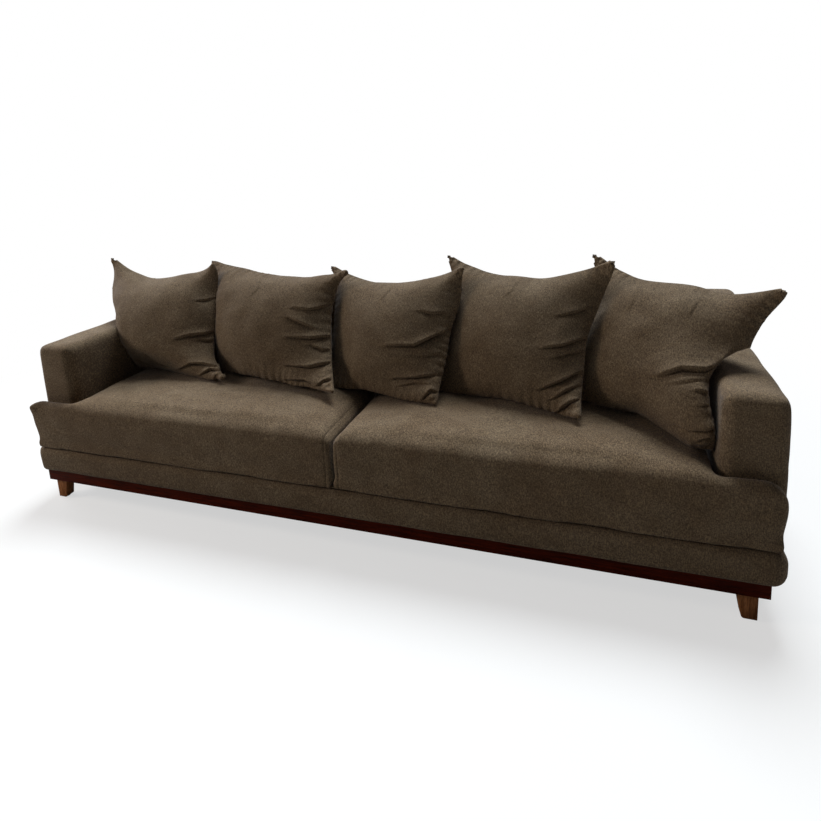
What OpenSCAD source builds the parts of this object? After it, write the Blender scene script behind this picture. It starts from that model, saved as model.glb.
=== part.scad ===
// Three-seat sofa with a low back, two pull-out seat cushions and five loose pillows.
// Millimetres. The origin is on the floor, under the foot of the centre leg.
// +X is to the right seen from the front, the front faces -Y and +Z is up.

/* [Overall] */
// Width of the upholstered base along its seams
sofa_w = 2700; // [2300:10:3000]
// Depth from the front seam of the base to the rear of the back
sofa_d = 860; // [820:5:960]
// Height of the top of the arms above the floor
arm_h = 647; // [600:1:720]
// Height of the top of the back above the floor
back_h = 767; // [740:1:860]

/* [Legs and plinth] */
// Height of the underside of the plinth above the floor
leg_h = 82; // [70:1:140]
// Width of a leg at its top
leg_top_w = 56; // [48:1:70]
// Width of a leg at its foot
leg_foot_w = 42; // [36:1:46]
// Thickness of a leg from front to back
leg_t = 36; // [32:1:44]
// Radius of a leg's inner bottom corner
leg_corner_r = 9; // [4:1:12]
// Distance from a leg's outer face to the plinth's end
leg_end_inset = 28; // [16:1:60]
// Distance from a leg's front face to the plinth's front face
leg_front_inset = 8; // [4:1:14]
// Height of a felt glide
glide_h = 3; // [2:0.5:5]
// Diameter of a felt glide
glide_d = 26; // [20:1:30]
// Height of the mahogany plinth
plinth_h = 46; // [40:1:70]
// Thickness of a plinth board
plinth_t = 20; // [16:1:24]
// Distance from the plinth's end to the base seam above it
plinth_end_inset = 21; // [10:1:40]
// Distance from the plinth's front to the base seam above it
plinth_front_inset = 2; // [1:1:15]
// Width of the cross board that carries the centre leg
plinth_cross_w = 60; // [48:1:80]
// Side of a square leg block
leg_block_w = 70; // [64:1:90]

/* [Base frame] */
// Height of the upholstered base
band_h = 98; // [90:1:130]
// Thickness of a frame board
board_t = 24; // [18:1:28]
// Height left between the middle cross rails and the webbing
sag_room = 24; // [15:1:35]
// Leg of a triangular corner block
corner_block_w = 78; // [60:1:80]
// Height of a corner block
corner_block_h = 60; // [40:1:65]
// Width of a webbing strap
web_w = 60; // [40:1:70]
// Thickness of a webbing strap
web_t = 2; // [1.5:0.5:3]
// Gap between neighbouring webbing straps
web_gap = 34; // [20:1:50]
// Thickness of the felt on the webbing
deck_pad_t = 12; // [8:1:16]
// Thickness of the dust cover
dust_t = 1; // [0.6:0.1:1.5]

/* [Upholstery] */
// Thickness of the cover fabric
fabric_t = 2; // [1.5:0.1:2.5]
// Thickness of the foam round the frames
foam_t = 10; // [8:1:14]
// How far the base swells out between its seams
base_bulge = 14; // [4:1:18]
// Radius of the base's corners, seen from above
base_corner_r = 28; // [25:1:60]

/* [Arms] */
// Width of an arm
arm_w = 165; // [145:1:185]
// How far an arm stands out past the base seam
arm_overhang = 24; // [14:1:30]
// Distance from the front seam of the base to the front of an arm
arm_setback = 69; // [55:1:90]
// Radius of the arm's edges
arm_edge_r = 30; // [20:1:40]
// How far the arm's sides swell out
arm_bulge = 5; // [0:1:8]
// Extra foam on the top of an arm
arm_top_foam = 12; // [5:1:25]
// Thickness of an arm's end panels
arm_panel_t = 18; // [12:1:24]
// Width of an arm rail
arm_rail_w = 30; // [24:1:34]
// Height of an arm rail
arm_rail_h = 40; // [30:1:50]
// Thickness of the hardboard on an arm's sides
side_board_t = 3; // [2.5:0.5:5]

/* [Back] */
// Thickness of the back at its top
back_top_t = 230; // [205:1:260]
// Rake of the back's front face
back_rake = 5; // [0:0.5:8]
// Radius of the back's top edges
back_edge_r = 38; // [25:1:45]
// Foam in front of the back frame, at its top
back_foam_t = 20; // [15:1:30]
// Thickness of a back rib
rib_t = 20; // [15:1:28]
// Number of back ribs
rib_count = 5; // [3:1:7]

/* [Seat cushions] */
// Height of a seat cushion at its top edge
cushion_h = 191; // [150:1:220]
// Rise of the crown above the edge
cushion_crown = 26; // [10:1:35]
// How far the cushion's sides draw in at their top edge
cushion_top_in = 22; // [12:1:30]
// How far the cushion's sides draw in at their bottom edge
cushion_bottom_in = 12; // [6:1:20]
// Rounding of the cushion's corners, seen from above
cushion_corner = 4; // [2:1:20]
// How far a cushion stands out past the base seam at its outer end
cushion_overhang = 17; // [5:1:24]
// Length of a cushion zip
zip_l = 900; // [500:10:1000]
// Height of a cushion zip
zip_h = 24; // [16:1:30]
// Thickness of a cushion zip
zip_t = 2.4; // [1.5:0.1:3]

/* [Pillows] */
// Width of a pillow between its corners
pillow_w = 602; // [560:1:620]
// Height of a pillow between its corners
pillow_h = 556; // [500:1:580]
// Thickness of a pillow at its middle
pillow_t = 188; // [150:1:200]
// How far the top edge of a pillow draws in between its corners
pillow_top_draw = 66; // [20:1:80]
// How far the other edges of a pillow draw in between their corners
pillow_side_draw = 24; // [10:1:40]
// Lean of the pillows from upright
pillow_lean = 31; // [22:1:33]

/* [Fits] */
// Clearance between soft pieces and what they touch
soft_gap = 0.4; // [0.3:0.05:0.6]
// Diameter of the frame bolts
bolt_d = 8; // [6:1:10]
// Clearance round a bolt, on its radius
bolt_gap = 0.2; // [0.1:0.05:0.4]

/* [Hidden] */
$fn = 32;

// Finishes
cloth = "#4a3f33";
mahogany = "#2f0f0a";
leg_wood = "#5a3420";
pine = "#c9a672";
ply = "#b98f5c";
felt = "#8d8b86";
foam = "#e6dcae";
webbing = "#3b3b3d";
steel = "#8f9498";
black_cloth = "#1c1c1e";
wadding = "#e9e7e2";

// Main levels and planes
half_w = sofa_w / 2;
front_y = -sofa_d / 2;
rear_y = sofa_d / 2;
frame_z = leg_h + plinth_h;
deck_z = frame_z + band_h;
wrap_t = fabric_t + foam_t;
frame_half_w = half_w - wrap_t;
frame_front_y = front_y + wrap_t;
frame_rear_y = rear_y - wrap_t;
rail_top_z = deck_z - fabric_t - deck_pad_t - 2 * web_t;
rail_h = rail_top_z - frame_z;
plinth_half_w = half_w - plinth_end_inset;
plinth_front_y = front_y + plinth_front_inset;
plinth_rear_y = rear_y - plinth_front_inset;
overrun = board_t / 4;

// Arm planes
arm_out_x = half_w + arm_overhang;
arm_in_x = arm_out_x - arm_w;
arm_front_y = front_y + arm_setback;
arm_frame_in_x = arm_in_x + wrap_t + side_board_t;
arm_frame_front_y = arm_front_y + wrap_t;
arm_frame_top_z = arm_h - wrap_t - arm_top_foam;

// Back planes
back_top_front_y = rear_y - back_top_t;
function back_face_y(z) = back_top_front_y - (back_h - z) * tan(back_rake);
back_foot_y = back_face_y(deck_z);
back_frame_front_y = back_top_front_y + fabric_t + back_foam_t;
back_frame_top_z = back_h - wrap_t - foam_t;
back_frame_half_w = frame_half_w;
arm_frame_rear_y = back_foot_y - arm_panel_t / 2;

// Small fastener sizes
bolt_head_d = bolt_d * 1.9;
bolt_head_h = bolt_d * 0.6;
leg_bolt_depth = leg_h / 2;
frame_bolt_bite = rail_h / 2;
leg_bolt_y = (plinth_t + leg_front_inset + leg_t) / 2;

// A solid skinned over rings of points, each ring with as many points as the next
module loft(rings) {
  n = len(rings[0]);
  m = len(rings);
  polyhedron(
    points = [for (ring = rings) each ring],
    faces = concat(
      [[for (i = [0:n - 1]) i]],
      [for (k = [0:m - 2], i = [0:n - 1])
        let (a = k * n + i, b = k * n + (i + 1) % n) each [[a, a + n, b], [b, a + n, b + n]]],
      [[for (i = [n - 1:-1:0]) (m - 1) * n + i]]
    ),
    convexity = 8
  );
}

// Points of a quarter arc about a centre, from one angle over a right angle
function corner_arc(centre, r, from, steps) =
  [for (i = [0:steps]) centre + r * [cos(from + 90 * i / steps), sin(from + 90 * i / steps)]];

// A rounded rectangle about the origin, anticlockwise
function round_rect(half_x, half_y, r, steps) = concat(
  corner_arc([half_x - r, half_y - r], r, 0, steps),
  corner_arc([r - half_x, half_y - r], r, 90, steps),
  corner_arc([r - half_x, r - half_y], r, 180, steps),
  corner_arc([half_x - r, r - half_y], r, 270, steps)
);

// Base upholstery, whose wall swells out between its two seams
swell_shares = [[0, 0], [0.1, 0.45], [0.3, 0.9], [0.5, 1], [0.7, 0.9], [0.9, 0.45], [1, 0]];
base_arc_steps = 4;
module base_form(inset) {
  loft([for (s = swell_shares)
    let (out = base_bulge * s[1] - inset)
    [for (p = round_rect(half_w + out, sofa_d / 2 + out, base_corner_r, base_arc_steps))
      [p.x, p.y, frame_z + s[0] * band_h]]]);
}

module base_cover() color(cloth) difference() {
  base_form(0);
  base_form_core(fabric_t);
}

// The base form, run on past both ends so that it cuts right through
module base_form_core(inset) {
  base_form(inset);
  for (z = [frame_z - overrun, deck_z - overrun])
    translate([0, 0, z]) linear_extrude(2 * overrun)
      polygon(round_rect(half_w - inset, sofa_d / 2 - inset, base_corner_r, base_arc_steps));
}

module base_padding() color(foam) difference() {
  base_form(fabric_t + soft_gap);
  translate([-frame_half_w, frame_front_y, frame_z - overrun])
    cube([2 * frame_half_w, frame_rear_y - frame_front_y, band_h + 2 * overrun]);
}

// Plinth
module plinth_board(y) {
  translate([-plinth_half_w, y, leg_h]) cube([2 * plinth_half_w, plinth_t, plinth_h]);
}
module plinth_front() color(mahogany) plinth_board(plinth_front_y);
module plinth_rear() color(mahogany) plinth_board(plinth_rear_y - plinth_t);
module plinth_end(side) {
  x = side > 0 ? plinth_half_w - plinth_t : -plinth_half_w;
  translate([x, plinth_front_y + plinth_t, leg_h])
    cube([plinth_t, plinth_rear_y - plinth_front_y - 2 * plinth_t, plinth_h]);
}
module plinth_left() color(mahogany) plinth_end(-1);
module plinth_right() color(mahogany) plinth_end(1);
module plinth_cross() color(pine) difference() {
  translate([-plinth_cross_w / 2, plinth_front_y + plinth_t, leg_h])
    cube([plinth_cross_w, plinth_rear_y - plinth_front_y - 2 * plinth_t, plinth_h]);
  leg_bolt_hole([0, 0]);
}

// Legs: a slanting inner side and a rounded inner bottom corner
leg_x = plinth_half_w - leg_end_inset;
leg_bolt_x = leg_x - leg_foot_w / 2;
leg_spots = [
  [-leg_bolt_x, plinth_front_y + leg_bolt_y], [leg_bolt_x, plinth_front_y + leg_bolt_y],
  [-leg_bolt_x, plinth_rear_y - leg_bolt_y], [leg_bolt_x, plinth_rear_y - leg_bolt_y], [0, 0]
];
leg_arc_steps = 6;
function leg_side() = concat(
  [[0, leg_h], [0, glide_h]],
  [for (i = [0:leg_arc_steps]) let (a = 270 - 90 * i / leg_arc_steps)
    [leg_corner_r - leg_foot_w + leg_corner_r * cos(a), glide_h + leg_corner_r + leg_corner_r * sin(a)]],
  [[-leg_top_w, leg_h]]
);
module leg_board(outline) {
  rotate([90, 0, 0]) linear_extrude(leg_t) polygon(outline);
}
module leg(x_side, y_side) {
  y = y_side < 0 ? plinth_front_y + leg_front_inset + leg_t : plinth_rear_y - leg_front_inset;
  difference() {
    translate([x_side * leg_x, y, 0])
      if (x_side > 0) leg_board(leg_side()); else mirror([1, 0, 0]) leg_board(leg_side());
    leg_bolt_hole([x_side * leg_bolt_x, y_side < 0 ? leg_spots[0].y : leg_spots[2].y]);
  }
}
module leg_bolt_hole(at) {
  translate([at.x, at.y, leg_h - leg_bolt_depth])
    cylinder(h = leg_bolt_depth + plinth_h + overrun, r = bolt_d / 2 + bolt_gap);
  translate([at.x, at.y, frame_z - bolt_head_h - 2 * bolt_gap])
    cylinder(h = bolt_head_h + overrun, r = bolt_head_d / 2 + bolt_gap);
}
module leg_front_left() color(leg_wood) leg(-1, -1);
module leg_front_right() color(leg_wood) leg(1, -1);
module leg_rear_left() color(leg_wood) leg(-1, 1);
module leg_rear_right() color(leg_wood) leg(1, 1);
module leg_centre() color(leg_wood) difference() {
  translate([0, leg_t / 2, 0]) leg_board([
    [-leg_top_w / 2, leg_h], [-leg_foot_w / 2, glide_h], [leg_foot_w / 2, glide_h], [leg_top_w / 2, leg_h]]);
  leg_bolt_hole([0, 0]);
}
module leg_blocks() color(pine) for (i = [0:3]) {
  at = leg_spots[i];
  x = at.x < 0 ? plinth_t - plinth_half_w : plinth_half_w - plinth_t - leg_block_w;
  y = at.y < 0 ? plinth_front_y + plinth_t : plinth_rear_y - plinth_t - leg_block_w;
  difference() {
    translate([x, y, leg_h]) cube([leg_block_w, leg_block_w, plinth_h]);
    leg_bolt_hole(at);
  }
}
module bolt(length) {
  cylinder(h = length, r = bolt_d / 2);
  translate([0, 0, length]) cylinder(h = bolt_head_h, r = bolt_head_d / 2);
}
module leg_bolts() color(steel) for (at = leg_spots)
  translate([at.x, at.y, leg_h - leg_bolt_depth + bolt_gap])
    bolt(leg_bolt_depth + plinth_h - bolt_head_h - 3 * bolt_gap);
module leg_glides() color(felt) for (at = leg_spots)
  translate([at.x, at.y < 0 ? plinth_front_y + leg_front_inset + leg_t / 2
      : at.y > 0 ? plinth_rear_y - leg_front_inset - leg_t / 2 : 0, 0])
    cylinder(h = glide_h, r = glide_d / 2);

// Seat frame
module long_rail(y) {
  translate([-frame_half_w, y, frame_z]) cube([2 * frame_half_w, board_t, rail_h]);
}
module seat_rail_front() color(pine) long_rail(frame_front_y);
module seat_rail_rear() color(pine) difference() {
  long_rail(frame_rear_y - board_t);
  frame_bolt_holes();
}
module end_rail(side) {
  x = side > 0 ? frame_half_w - board_t : -frame_half_w;
  difference() {
    translate([x, frame_front_y + board_t, frame_z])
      cube([board_t, frame_rear_y - frame_front_y - 2 * board_t, rail_h]);
    frame_bolt_holes();
  }
}
module seat_rail_left() color(pine) end_rail(-1);
module seat_rail_right() color(pine) end_rail(1);
module seat_rail_webbing() color(pine) difference() {
  translate([board_t - frame_half_w, back_frame_front_y, frame_z])
    cube([2 * (frame_half_w - board_t), board_t, rail_h]);
  frame_bolt_holes();
}

// Cross rails: one under the inner side of each arm, and three lower ones between them
cross_rail_x = [-arm_in_x - board_t, -arm_in_x / 2, 0, arm_in_x / 2, arm_in_x + board_t];
module seat_cross_rails() color(pine) for (i = [0:4]) {
  middle = i > 0 && i < 4;
  x = middle ? cross_rail_x[i] - board_t / 2 : min(cross_rail_x[i], sign(cross_rail_x[i]) * arm_in_x);
  y = frame_front_y + board_t;
  translate([x, y, frame_z])
    cube([board_t, back_frame_front_y - y, middle ? rail_h - sag_room : rail_h]);
}
module corner_blocks() color(pine) for (sx = [-1, 1], sy = [-1, 1])
  translate([sx * (frame_half_w - board_t), sy < 0 ? frame_front_y + board_t : frame_rear_y - board_t, frame_z])
    linear_extrude(corner_block_h)
      polygon([[0, 0], [-sx * corner_block_w, 0], [0, -sy * corner_block_w]]);

// Elastic webbing, whose lengthwise straps run over the crosswise ones
web_pitch = web_w + web_gap;
web_long_n = floor((2 * arm_in_x - web_gap) / web_pitch);
web_cross_n = floor((back_frame_front_y - frame_front_y - board_t) / web_pitch);
module seat_webbing_lengthwise() color(webbing) for (i = [0:web_long_n - 1])
  translate([(i - (web_long_n - 1) / 2) * web_pitch - web_w / 2, frame_front_y, rail_top_z + web_t])
    cube([web_w, back_frame_front_y - frame_front_y - web_t, web_t]);
module seat_webbing_crosswise() color(webbing) for (i = [0:web_cross_n - 1])
  translate([-arm_frame_in_x + side_board_t, frame_front_y + board_t + web_gap / 2 + i * web_pitch, rail_top_z])
    cube([2 * (arm_frame_in_x - side_board_t), web_w, web_t]);
module dust_cover() color(black_cloth) difference() {
  translate([-plinth_half_w + plinth_t + soft_gap, plinth_front_y + plinth_t + soft_gap, frame_z - dust_t])
    cube([2 * (plinth_half_w - plinth_t - soft_gap), 2 * (plinth_rear_y - plinth_t - soft_gap), dust_t]);
  translate([-plinth_cross_w / 2 - soft_gap, -rear_y, leg_h]) cube([plinth_cross_w + 2 * soft_gap, sofa_d, plinth_h + overrun]);
  for (sx = [-1, 1], sy = [-1, 1])
    translate([sx * (plinth_half_w - plinth_t - leg_block_w / 2), sy * (plinth_rear_y - plinth_t - leg_block_w / 2), frame_z])
      cube([leg_block_w + 2 * soft_gap, leg_block_w + 2 * soft_gap, 2 * overrun], center = true);
}

// Seat deck, wider in front of the arms
function deck_outline(gap) = [
  [-frame_half_w + gap, frame_front_y + gap], [frame_half_w - gap, frame_front_y + gap],
  [frame_half_w - gap, arm_front_y - gap], [arm_in_x - gap, arm_front_y - gap],
  [arm_in_x - gap, back_foot_y - gap], [gap - arm_in_x, back_foot_y - gap],
  [gap - arm_in_x, arm_front_y - gap], [gap - frame_half_w, arm_front_y - gap]
];
module deck_pad() color(felt)
  translate([0, 0, rail_top_z + 2 * web_t]) linear_extrude(deck_pad_t) polygon(deck_outline(soft_gap));
module deck_cover() color(cloth)
  translate([0, 0, deck_z - fabric_t]) linear_extrude(fabric_t) polygon(deck_outline(soft_gap));

// Right arm, built on its own outline seen from the front; the left arm mirrors it
arm_arc_steps = 4;
bulge_shares = [0.25, 0.5, 0.75];
function arm_outline(inset) =
  let (lo = deck_z + soft_gap, hi = arm_h - inset, x0 = arm_in_x + inset, x1 = arm_out_x - inset,
    r = max(arm_edge_r - inset, fabric_t), flat = hi - r - lo)
  concat(
    [[x1, lo]],
    [for (s = bulge_shares) [x1 + 4 * arm_bulge * s * (1 - s), lo + s * flat]],
    corner_arc([x1 - r, hi - r], r, 0, arm_arc_steps),
    corner_arc([x0 + r, hi - r], r, 90, arm_arc_steps),
    [for (i = [len(bulge_shares) - 1:-1:0]) let (s = bulge_shares[i])
      [x0 - 4 * arm_bulge * s * (1 - s), lo + s * flat]],
    [[x0, lo]]
  );
// The front edge rounds over; the rear end follows the raked face of the back
function arm_rings(inset, past) = concat(
  [[for (p = arm_outline(inset)) [p.x, back_face_y(p.y) - soft_gap + past, p.y]]],
  [for (i = [arm_arc_steps:-1:0]) let (a = 90 * i / arm_arc_steps, r = arm_edge_r * 0.8)
    [for (p = arm_outline(inset + r * (1 - sin(a)))) [p.x, arm_front_y + inset + r * (1 - cos(a)), p.y]]]
);
module arm_form(inset, past = 0) loft(arm_rings(inset, past));
module arm_cover() color(cloth) difference() {
  arm_form(0);
  arm_form_core(fabric_t);
}
// The arm form, run on below the bottom and past the rear end
module arm_form_core(inset) {
  arm_form(inset, overrun);
  translate([arm_in_x + arm_edge_r, arm_front_y + arm_edge_r, deck_z - overrun])
    cube([arm_w - 2 * arm_edge_r, back_foot_y - arm_front_y, 2 * overrun]);
}
module arm_padding() color(foam) difference() {
  arm_form(fabric_t + soft_gap);
  translate([arm_frame_in_x - side_board_t - soft_gap, arm_frame_front_y, rail_top_z])
    cube([frame_half_w + 2 * side_board_t + 2 * soft_gap - arm_frame_in_x,
      sofa_d, arm_frame_top_z - rail_top_z + soft_gap]);
}
module arm_end_panels() color(ply) for (y = [arm_frame_front_y + soft_gap, arm_frame_rear_y - arm_panel_t])
  translate([arm_frame_in_x, y, rail_top_z])
    cube([frame_half_w - arm_frame_in_x, arm_panel_t, arm_frame_top_z - rail_top_z]);
module arm_rails() color(pine) difference() {
  for (x = [arm_frame_in_x, frame_half_w - arm_rail_w], z = [rail_top_z, arm_frame_top_z - arm_rail_h])
    translate([x, arm_frame_front_y + soft_gap + arm_panel_t, z])
      cube([arm_rail_w, arm_frame_rear_y - arm_frame_front_y - soft_gap - 2 * arm_panel_t, arm_rail_h]);
  frame_bolt_holes();
}
module arm_side_boards() color(ply) for (x = [arm_frame_in_x - side_board_t, frame_half_w])
  translate([x, arm_frame_front_y + soft_gap, deck_z + soft_gap])
    cube([side_board_t, arm_frame_rear_y - arm_frame_front_y - soft_gap, arm_frame_top_z - deck_z - soft_gap]);
module arm_right_end_panels() arm_end_panels();
module arm_right_rails() arm_rails();
module arm_right_side_boards() arm_side_boards();
module arm_right_padding() arm_padding();
module arm_right_cover() arm_cover();
module arm_left_end_panels() mirror([1, 0, 0]) arm_end_panels();
module arm_left_rails() mirror([1, 0, 0]) arm_rails();
module arm_left_side_boards() mirror([1, 0, 0]) arm_side_boards();
module arm_left_padding() mirror([1, 0, 0]) arm_padding();
module arm_left_cover() mirror([1, 0, 0]) arm_cover();

// Back, on its outline seen from the side
back_arc_steps = 5;
function back_outline(inset) =
  let (lo = deck_z + soft_gap, hi = back_h - inset, r = back_edge_r - inset,
    y1 = rear_y - inset, yf = function (z) back_face_y(z) + inset)
  concat(
    [[y1, lo]],
    corner_arc([y1 - r, hi - r], r, 0, back_arc_steps),
    corner_arc([yf(hi - r) + r, hi - r], r, 90, back_arc_steps),
    [[yf(lo), lo]]
  );
back_end_r = arm_edge_r * 0.8;
function back_rings(inset) = [for (side = [-1, 1], i = [0:arm_arc_steps])
  let (a = side < 0 ? 90 * i / arm_arc_steps : 90 - 90 * i / arm_arc_steps)
  [for (p = back_outline(inset + back_end_r * (1 - sin(a))))
    [side * (arm_out_x - inset - back_end_r * (1 - cos(a))), p.x, p.y]]];
module back_form(inset) mirror([1, 0, 0]) loft(back_rings(inset));
module back_cover() color(cloth) difference() {
  back_form(0);
  back_form_core(fabric_t);
}
// The back form, run on below the bottom and out of the rear, where the rear cover closes it
module back_form_core(inset) {
  back_form(inset);
  x = arm_out_x - inset - back_end_r;
  translate([-x, back_foot_y + fabric_t + back_end_r, deck_z - overrun])
    cube([2 * x, rear_y - back_foot_y - fabric_t - 2 * back_end_r, 2 * overrun]);
  translate([-x, rear_y - 2 * overrun, deck_z - overrun])
    cube([2 * x, 3 * overrun, back_h - back_edge_r - deck_z]);
}
module back_rear_cover() color(cloth)
  translate([soft_gap - arm_out_x + fabric_t + back_end_r, rear_y - fabric_t, deck_z + soft_gap])
    cube([2 * (arm_out_x - fabric_t - back_end_r - soft_gap), fabric_t, back_h - back_edge_r - deck_z - overrun - 2 * soft_gap]);
module back_padding() color(foam) difference() {
  back_form(fabric_t + soft_gap);
  translate([-back_frame_half_w - soft_gap, back_frame_front_y - web_t - soft_gap, rail_top_z])
    cube([2 * (back_frame_half_w + soft_gap), sofa_d, back_frame_top_z + soft_gap - rail_top_z]);
}
back_depth = frame_rear_y - back_frame_front_y;
module back_boards() color(ply) difference() {
  for (z = [rail_top_z, back_frame_top_z - board_t])
    translate([-back_frame_half_w, back_frame_front_y, z])
      cube([2 * back_frame_half_w, back_depth, board_t]);
  frame_bolt_holes();
}
rib_pitch = (2 * back_frame_half_w - rib_t) / (rib_count - 1);
module back_ribs() color(ply) for (i = [0:rib_count - 1])
  translate([i * rib_pitch - back_frame_half_w, back_frame_front_y, rail_top_z + board_t])
    cube([rib_t, back_depth, back_frame_top_z - rail_top_z - 2 * board_t]);
back_web_n = floor((2 * back_frame_half_w - web_gap) / web_pitch);
module back_webbing() color(webbing) for (i = [0:back_web_n - 1])
  translate([(i - (back_web_n - 1) / 2) * web_pitch - web_w / 2, back_frame_front_y - web_t, deck_z + soft_gap])
    cube([web_w, web_t, back_frame_top_z - deck_z - soft_gap]);

// Bolts that hold the arms and the back down on the seat frame
arm_bolt_y_shares = [0.2, 0.8];
frame_bolt_spots = concat(
  [for (sx = [-1, 1], s = arm_bolt_y_shares)
    [sx * (frame_half_w - board_t / 2), arm_frame_front_y + s * (arm_frame_rear_y - arm_frame_front_y), arm_rail_h]],
  [for (i = [0:rib_count - 2], y = [back_frame_front_y + board_t / 2, frame_rear_y - board_t / 2])
    [(i + 0.5) * rib_pitch - back_frame_half_w + rib_t / 2, y, board_t]]
);
module frame_bolt_holes() for (at = frame_bolt_spots)
  translate([at.x, at.y, rail_top_z - frame_bolt_bite])
    cylinder(h = frame_bolt_bite + at.z + overrun, r = bolt_d / 2 + bolt_gap);
module frame_bolts() color(steel) for (at = frame_bolt_spots)
  translate([at.x, at.y, rail_top_z - frame_bolt_bite + bolt_gap]) bolt(frame_bolt_bite + at.z - bolt_gap);

// Seat cushions: a boxed L in plan, crowned on top, with an ear in front of the arm
cushion_z = deck_z + soft_gap;
cushion_depth = back_foot_y - front_y - soft_gap;
cushion_in_x = soft_gap / 2;
cushion_main_x = arm_in_x - arm_bulge - soft_gap;
cushion_ear_x = half_w + cushion_overhang;
cushion_ear_y = arm_setback - soft_gap;
// Draw-in and height of each level of the side wall, from the bottom up
wall_shares = [[1, 0, 0], [0.35, 0, 0.12], [0, 0, 0.3], [0, 0, 0.58], [0, 0.2, 0.78], [0, 0.5, 0.92], [0, 1, 1]];
crown_power = 3.2;
function crown_share(x, y) =
  let (a = (2 * abs(x) - cushion_main_x - cushion_in_x) / (cushion_main_x - cushion_in_x),
    b = 2 * (y - front_y) / cushion_depth - 1)
  max(0, 1 - pow(abs(a), crown_power)) * max(0, 1 - pow(abs(b), crown_power));
function seat_top(x, y) = cushion_z + cushion_h + cushion_crown * crown_share(x, y);

// Plan lines of the cushion: even ones over the seat, then those of the ear
function plan_x(n) = concat([for (i = [0:n]) cushion_in_x + (cushion_main_x - cushion_in_x) * i / n],
  [(cushion_main_x + cushion_ear_x) / 2, cushion_ear_x]);
function plan_y(n) = concat([0, cushion_ear_y / 2, cushion_ear_y],
  [for (j = [1:n]) cushion_ear_y + (cushion_depth - cushion_ear_y) * j / n]);

// The cushion's solid, as a lattice of points with the notch for the arm left out
module cushion_form(nx, ny, levels, shrink) {
  xs = plan_x(nx);
  ys = plan_y(ny);
  cx = len(xs) - 1;
  cy = len(ys) - 1;
  nk = len(levels);
  filled = function (i, j) i >= 0 && i < cx && j >= 0 && j < cy && (i < nx || j < 2);
  pull = function (i, j) [
    (filled(i, j) || filled(i, j - 1) ? 1 : 0) - (filled(i - 1, j) || filled(i - 1, j - 1) ? 1 : 0),
    (filled(i, j) || filled(i - 1, j) ? 1 : 0) - (filled(i, j - 1) || filled(i - 1, j - 1) ? 1 : 0)];
  cells_at = function (i, j) len([for (a = [-1, 0], b = [-1, 0]) if (filled(i + a, j + b)) 1]);
  at = function (k, i, j)
    let (cells = cells_at(i, j), rim = cells > 0 && cells < 4, s = levels[k],
      way = !rim ? [0, 0] : cells == 3 ? [-1, -1] : pull(i, j),
      in = cushion_bottom_in * s[0] + cushion_top_in * s[1],
      draw = shrink + (cells == 1 ? cushion_corner + in / 2 : in),
      x = xs[i] + way.x * draw, y = ys[j] + way.y * draw,
      top = k == nk - 1, bottom = k == 0,
      z = cushion_z + s[2] * cushion_h + (top && !rim ? cushion_crown * crown_share(x, y + front_y) : 0)
        + (top ? -shrink : bottom ? shrink : 0))
    [x, y + front_y, z];
  num = function (k, i, j) k * (cx + 1) * (cy + 1) + i * (cy + 1) + j;
  inner = [for (i = [0:cx - 1], j = [0:cy - 1]) if (filled(i, j)) [i, j]];
  wall = function (i0, j0, i1, j1) [for (k = [0:nk - 2]) each [
    [num(k, i0, j0), num(k + 1, i0, j0), num(k, i1, j1)],
    [num(k, i1, j1), num(k + 1, i0, j0), num(k + 1, i1, j1)]]];
  polyhedron(
    points = [for (k = [0:nk - 1], i = [0:cx], j = [0:cy]) at(k, i, j)],
    faces = [for (c = inner) let (i = c[0], j = c[1]) each concat(
      [[num(0, i, j), num(0, i + 1, j), num(0, i + 1, j + 1)], [num(0, i, j), num(0, i + 1, j + 1), num(0, i, j + 1)]],
      [[num(nk - 1, i, j), num(nk - 1, i + 1, j + 1), num(nk - 1, i + 1, j)],
        [num(nk - 1, i, j), num(nk - 1, i, j + 1), num(nk - 1, i + 1, j + 1)]],
      filled(i, j - 1) ? [] : wall(i, j, i + 1, j),
      filled(i + 1, j) ? [] : wall(i + 1, j, i + 1, j + 1),
      filled(i, j + 1) ? [] : wall(i + 1, j + 1, i, j + 1),
      filled(i - 1, j) ? [] : wall(i, j + 1, i, j)
    )],
    convexity = 8
  );
}
core_wall_shares = [[1, 0, 0], [0, 0, 0.3], [0, 0, 0.58], [0, 1, 1]];
module cushion_cover() color(cloth) difference() {
  cushion_form(12, 9, wall_shares, 0);
  cushion_form(5, 3, core_wall_shares, 2 * fabric_t);
  zip_block(0, 3 * fabric_t, fabric_t);
}
module cushion_core() color(foam) cushion_form(5, 3, core_wall_shares, 2 * fabric_t + soft_gap);
// The zip closes a slot in the rear wall of the cover
zip_height_share = 0.44;
module zip_block(gap, depth, past) {
  translate([cushion_main_x / 2 - zip_l / 2 + gap, front_y + cushion_depth - depth,
      cushion_z + cushion_h * zip_height_share - zip_h / 2 + gap])
    cube([zip_l - 2 * gap, depth + past, zip_h - 2 * gap]);
}
module cushion_zip() color(black_cloth) zip_block(soft_gap / 2, zip_t, 0);
module seat_cushion_right_cover() cushion_cover();
module seat_cushion_right_core() cushion_core();
module seat_cushion_right_zip() cushion_zip();
module seat_cushion_left_cover() mirror([1, 0, 0]) cushion_cover();
module seat_cushion_left_core() mirror([1, 0, 0]) cushion_core();
module seat_cushion_left_zip() mirror([1, 0, 0]) cushion_zip();

// Pillows: where each one stands, as a share of half the seat's width, and how it is turned
pillow_x_shares = [-0.872, -0.405, 0.03, 0.464, 0.88];
pillow_yaw = [-5, -9, -10, -13.5, -26.6];
pillow_roll = [-4.6, -1.1, -0.4, 1.3, 4];
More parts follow.
